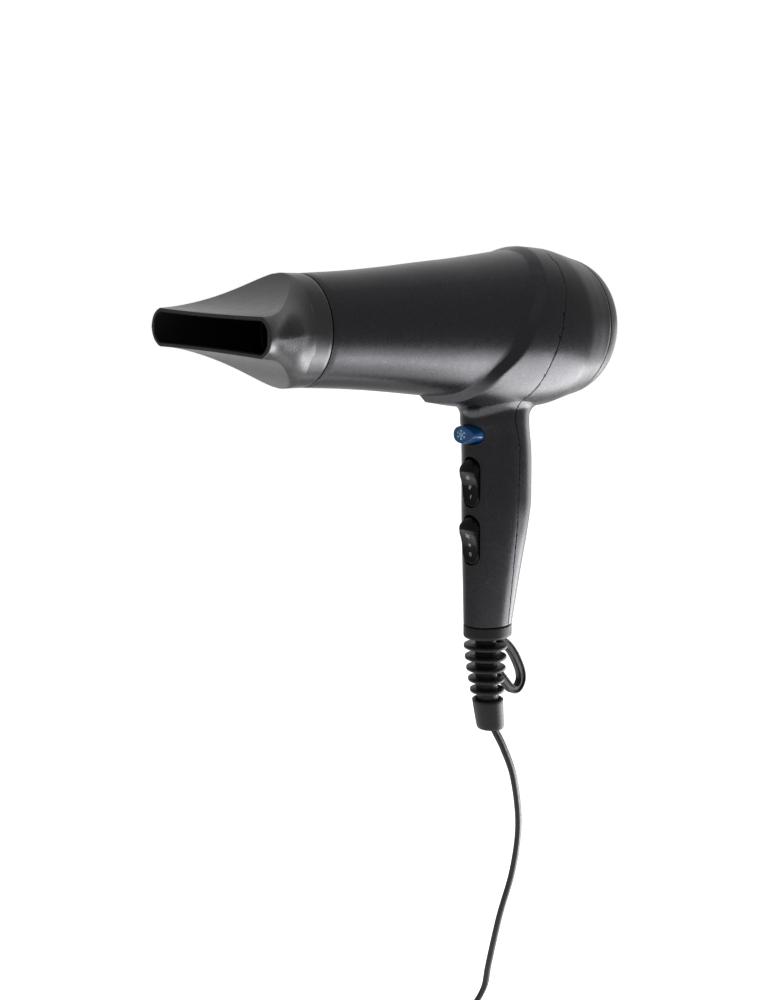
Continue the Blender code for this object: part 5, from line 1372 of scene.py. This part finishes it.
class HAIR_DRYER_OT_stage(bpy.types.Operator):
    """Makes the pale floor, the soft lights and the cards that shape the reflections"""
    bl_idname = "hair_dryer.stage"
    bl_label = "Stage"

    ROOM_EDGE = -24
    PALE_SIDE = (0.68, 0.70, 0.20)

    def execute(self, context):
        size = context.scene.hair_dryer_stage
        self.floor(size.floor_height)
        self.world(context.scene, size.world_strength)
        self.lamp("overhead", (0.10, 0.10, 1.50), (0, 0, 0.05), 1.6, 1.2, size.key_power)
        self.lamp("low_right", (0.39, -0.17, -0.295), (0, 0, 0.10), 0.50, 0.36, size.floor_power)
        self.lamp("low_rear", (0.80, 0.02, -0.13), (0.03, 0, 0.10), 0.40, 0.50, size.floor_power * 0.36)
        self.dark_room(1.0)
        self.floor_card(size.floor_height, 0.38)
        context.scene.view_settings.view_transform = "Standard"
        return {"FINISHED"}

    def sees_white(self, tree):
        """1 for the rays that see the white room: camera, glossy and transmission rays."""
        path = new_node(tree, "LightPath")
        value = path.outputs["Is Camera Ray"]
        for other in ("Is Glossy Ray", "Is Transmission Ray"):
            either = new_node(tree, "Math", {"operation": "MAXIMUM"})
            value = feed_all(tree, either, value, path.outputs[other])
        return value

    def floor(self, height):
        clear_selection()
        bpy.ops.mesh.primitive_plane_add(size=12, location=(0, 0, 0))
        floor = named("floor")
        set_points(floor, get_points(floor) + (0, 0, height))
        material = bpy.data.materials.new("floor_white")
        tree = bare_tree(material)
        glow = new_node(tree, "Emission", Color=(0.9, 0.9, 0.9, 1), Strength=self.sees_white(tree))
        pale = new_node(tree, "BsdfDiffuse", Color=(0.78, 0.78, 0.78, 1))
        both = feed_all(tree, new_node(tree, "AddShader"), pale.outputs[0], glow.outputs[0])
        new_node(tree, "OutputMaterial", Surface=both)
        floor.data.materials.append(material)

    def world(self, scene, strength):
        world = bpy.data.worlds.new("room")
        scene.world = world
        tree = bare_tree(world)
        room = new_node(tree, "Background", Strength=strength)
        white = new_node(tree, "Background", Color=(1, 1, 1, 1))
        mix = feed_all(tree, new_node(tree, "MixShader"), self.sees_white(tree), room.outputs[0],
                       white.outputs[0])
        new_node(tree, "OutputWorld", Surface=mix)

    def lamp(self, name, place, target, wide, tall, power):
        clear_selection()
        bpy.ops.object.light_add(type="AREA", location=place)
        lamp = bpy.context.object
        lamp.name = lamp.data.name = name
        lamp.data.shape = "RECTANGLE"
        lamp.data.size, lamp.data.size_y = wide, tall
        lamp.data.energy = power
        lamp.rotation_euler = (Vector(target) - Vector(place)).to_track_quat("-Z", "Y").to_euler()

    def dark_room(self, radius):
        """A shell that only reflections see: dark in front of the dryer, and pale at the rear right."""
        clear_selection()
        bpy.ops.mesh.primitive_uv_sphere_add(segments=72, ring_count=36, radius=radius)
        room = named("dark_room")
        delete_where(room, "FACE", lambda face: math.degrees(math.asin(face.center.z / radius))
                     < self.ROOM_EDGE)
        tree, glow = self.reflected(room)
        place = new_node(tree, "TexCoord").outputs["Object"]
        towards = new_node(tree, "VectorMath", {"operation": "DOT_PRODUCT"})
        feed_all(tree, towards, place, tuple(part / radius for part in self.PALE_SIDE))
        level = new_node(tree, "MapRange", {"interpolation_type": "SMOOTHSTEP"},
                         Value=towards.outputs["Value"], From_Min=0.30, From_Max=1.05, To_Min=0.25,
                         To_Max=0.75)
        feed(tree, glow.inputs["Strength"], level.outputs[0])

    def floor_card(self, height, level):
        """A grey card on the floor at the rear right, which only reflections see."""
        clear_selection()
        bpy.ops.mesh.primitive_plane_add(size=3)
        card = named("floor_card")
        set_points(card, get_points(card) + (1.55, 1.65, height + 0.004))
        self.reflected(card)[1].inputs["Strength"].default_value = level

    def reflected(self, piece):
        """A stage piece that glows in reflections and is seen nowhere else."""
        material = bpy.data.materials.new(piece.name)
        tree = bare_tree(material)
        glow = new_node(tree, "Emission")
        new_node(tree, "OutputMaterial", Surface=glow.outputs[0])
        piece.data.materials.append(material)
        piece.visible_camera = piece.visible_diffuse = piece.visible_shadow = False
        piece.visible_transmission = piece.visible_volume_scatter = False
        return tree, glow


class HAIR_DRYER_PT_panel(bpy.types.Panel):
    """Lists the sizes, colours and steps of the hair dryer"""
    bl_idname = "HAIR_DRYER_PT_panel"
    bl_label = "Hair Dryer"
    bl_space_type = "VIEW_3D"
    bl_region_type = "UI"
    bl_category = "Hair Dryer"

    def draw(self, context):
        for name, group in GROUPS.items():
            box = self.layout.box()
            for key in group.__annotations__:
                box.prop(getattr(context.scene, name), key)
        for step in STEPS:
            self.layout.operator(step.bl_idname)


GROUPS = {"hair_dryer_shell": HairDryerShell, "hair_dryer_cord": HairDryerCord,
          "hair_dryer_paint": HairDryerPaint, "hair_dryer_stage": HairDryerStage}
STEPS = (HAIR_DRYER_OT_camera, HAIR_DRYER_OT_cord, HAIR_DRYER_OT_housing, HAIR_DRYER_OT_nozzle,
         HAIR_DRYER_OT_rear_cover, HAIR_DRYER_OT_rockers, HAIR_DRYER_OT_cool_button,
         HAIR_DRYER_OT_boot, HAIR_DRYER_OT_inner_parts, HAIR_DRYER_OT_stage)


def register():
    for item in (*GROUPS.values(), *STEPS, HAIR_DRYER_PT_panel):
        bpy.utils.register_class(item)
    for name, group in GROUPS.items():
        setattr(bpy.types.Scene, name, bpy.props.PointerProperty(type=group))


def unregister():
    for name in GROUPS:
        delattr(bpy.types.Scene, name)
    for item in (HAIR_DRYER_PT_panel, *STEPS, *GROUPS.values()):
        bpy.utils.unregister_class(item)


def main():
    register()
    clear_selection()
    for step in STEPS:
        group, name = step.bl_idname.split(".")
        getattr(getattr(bpy.ops, group), name)()


if __name__ == "__main__":
    main()
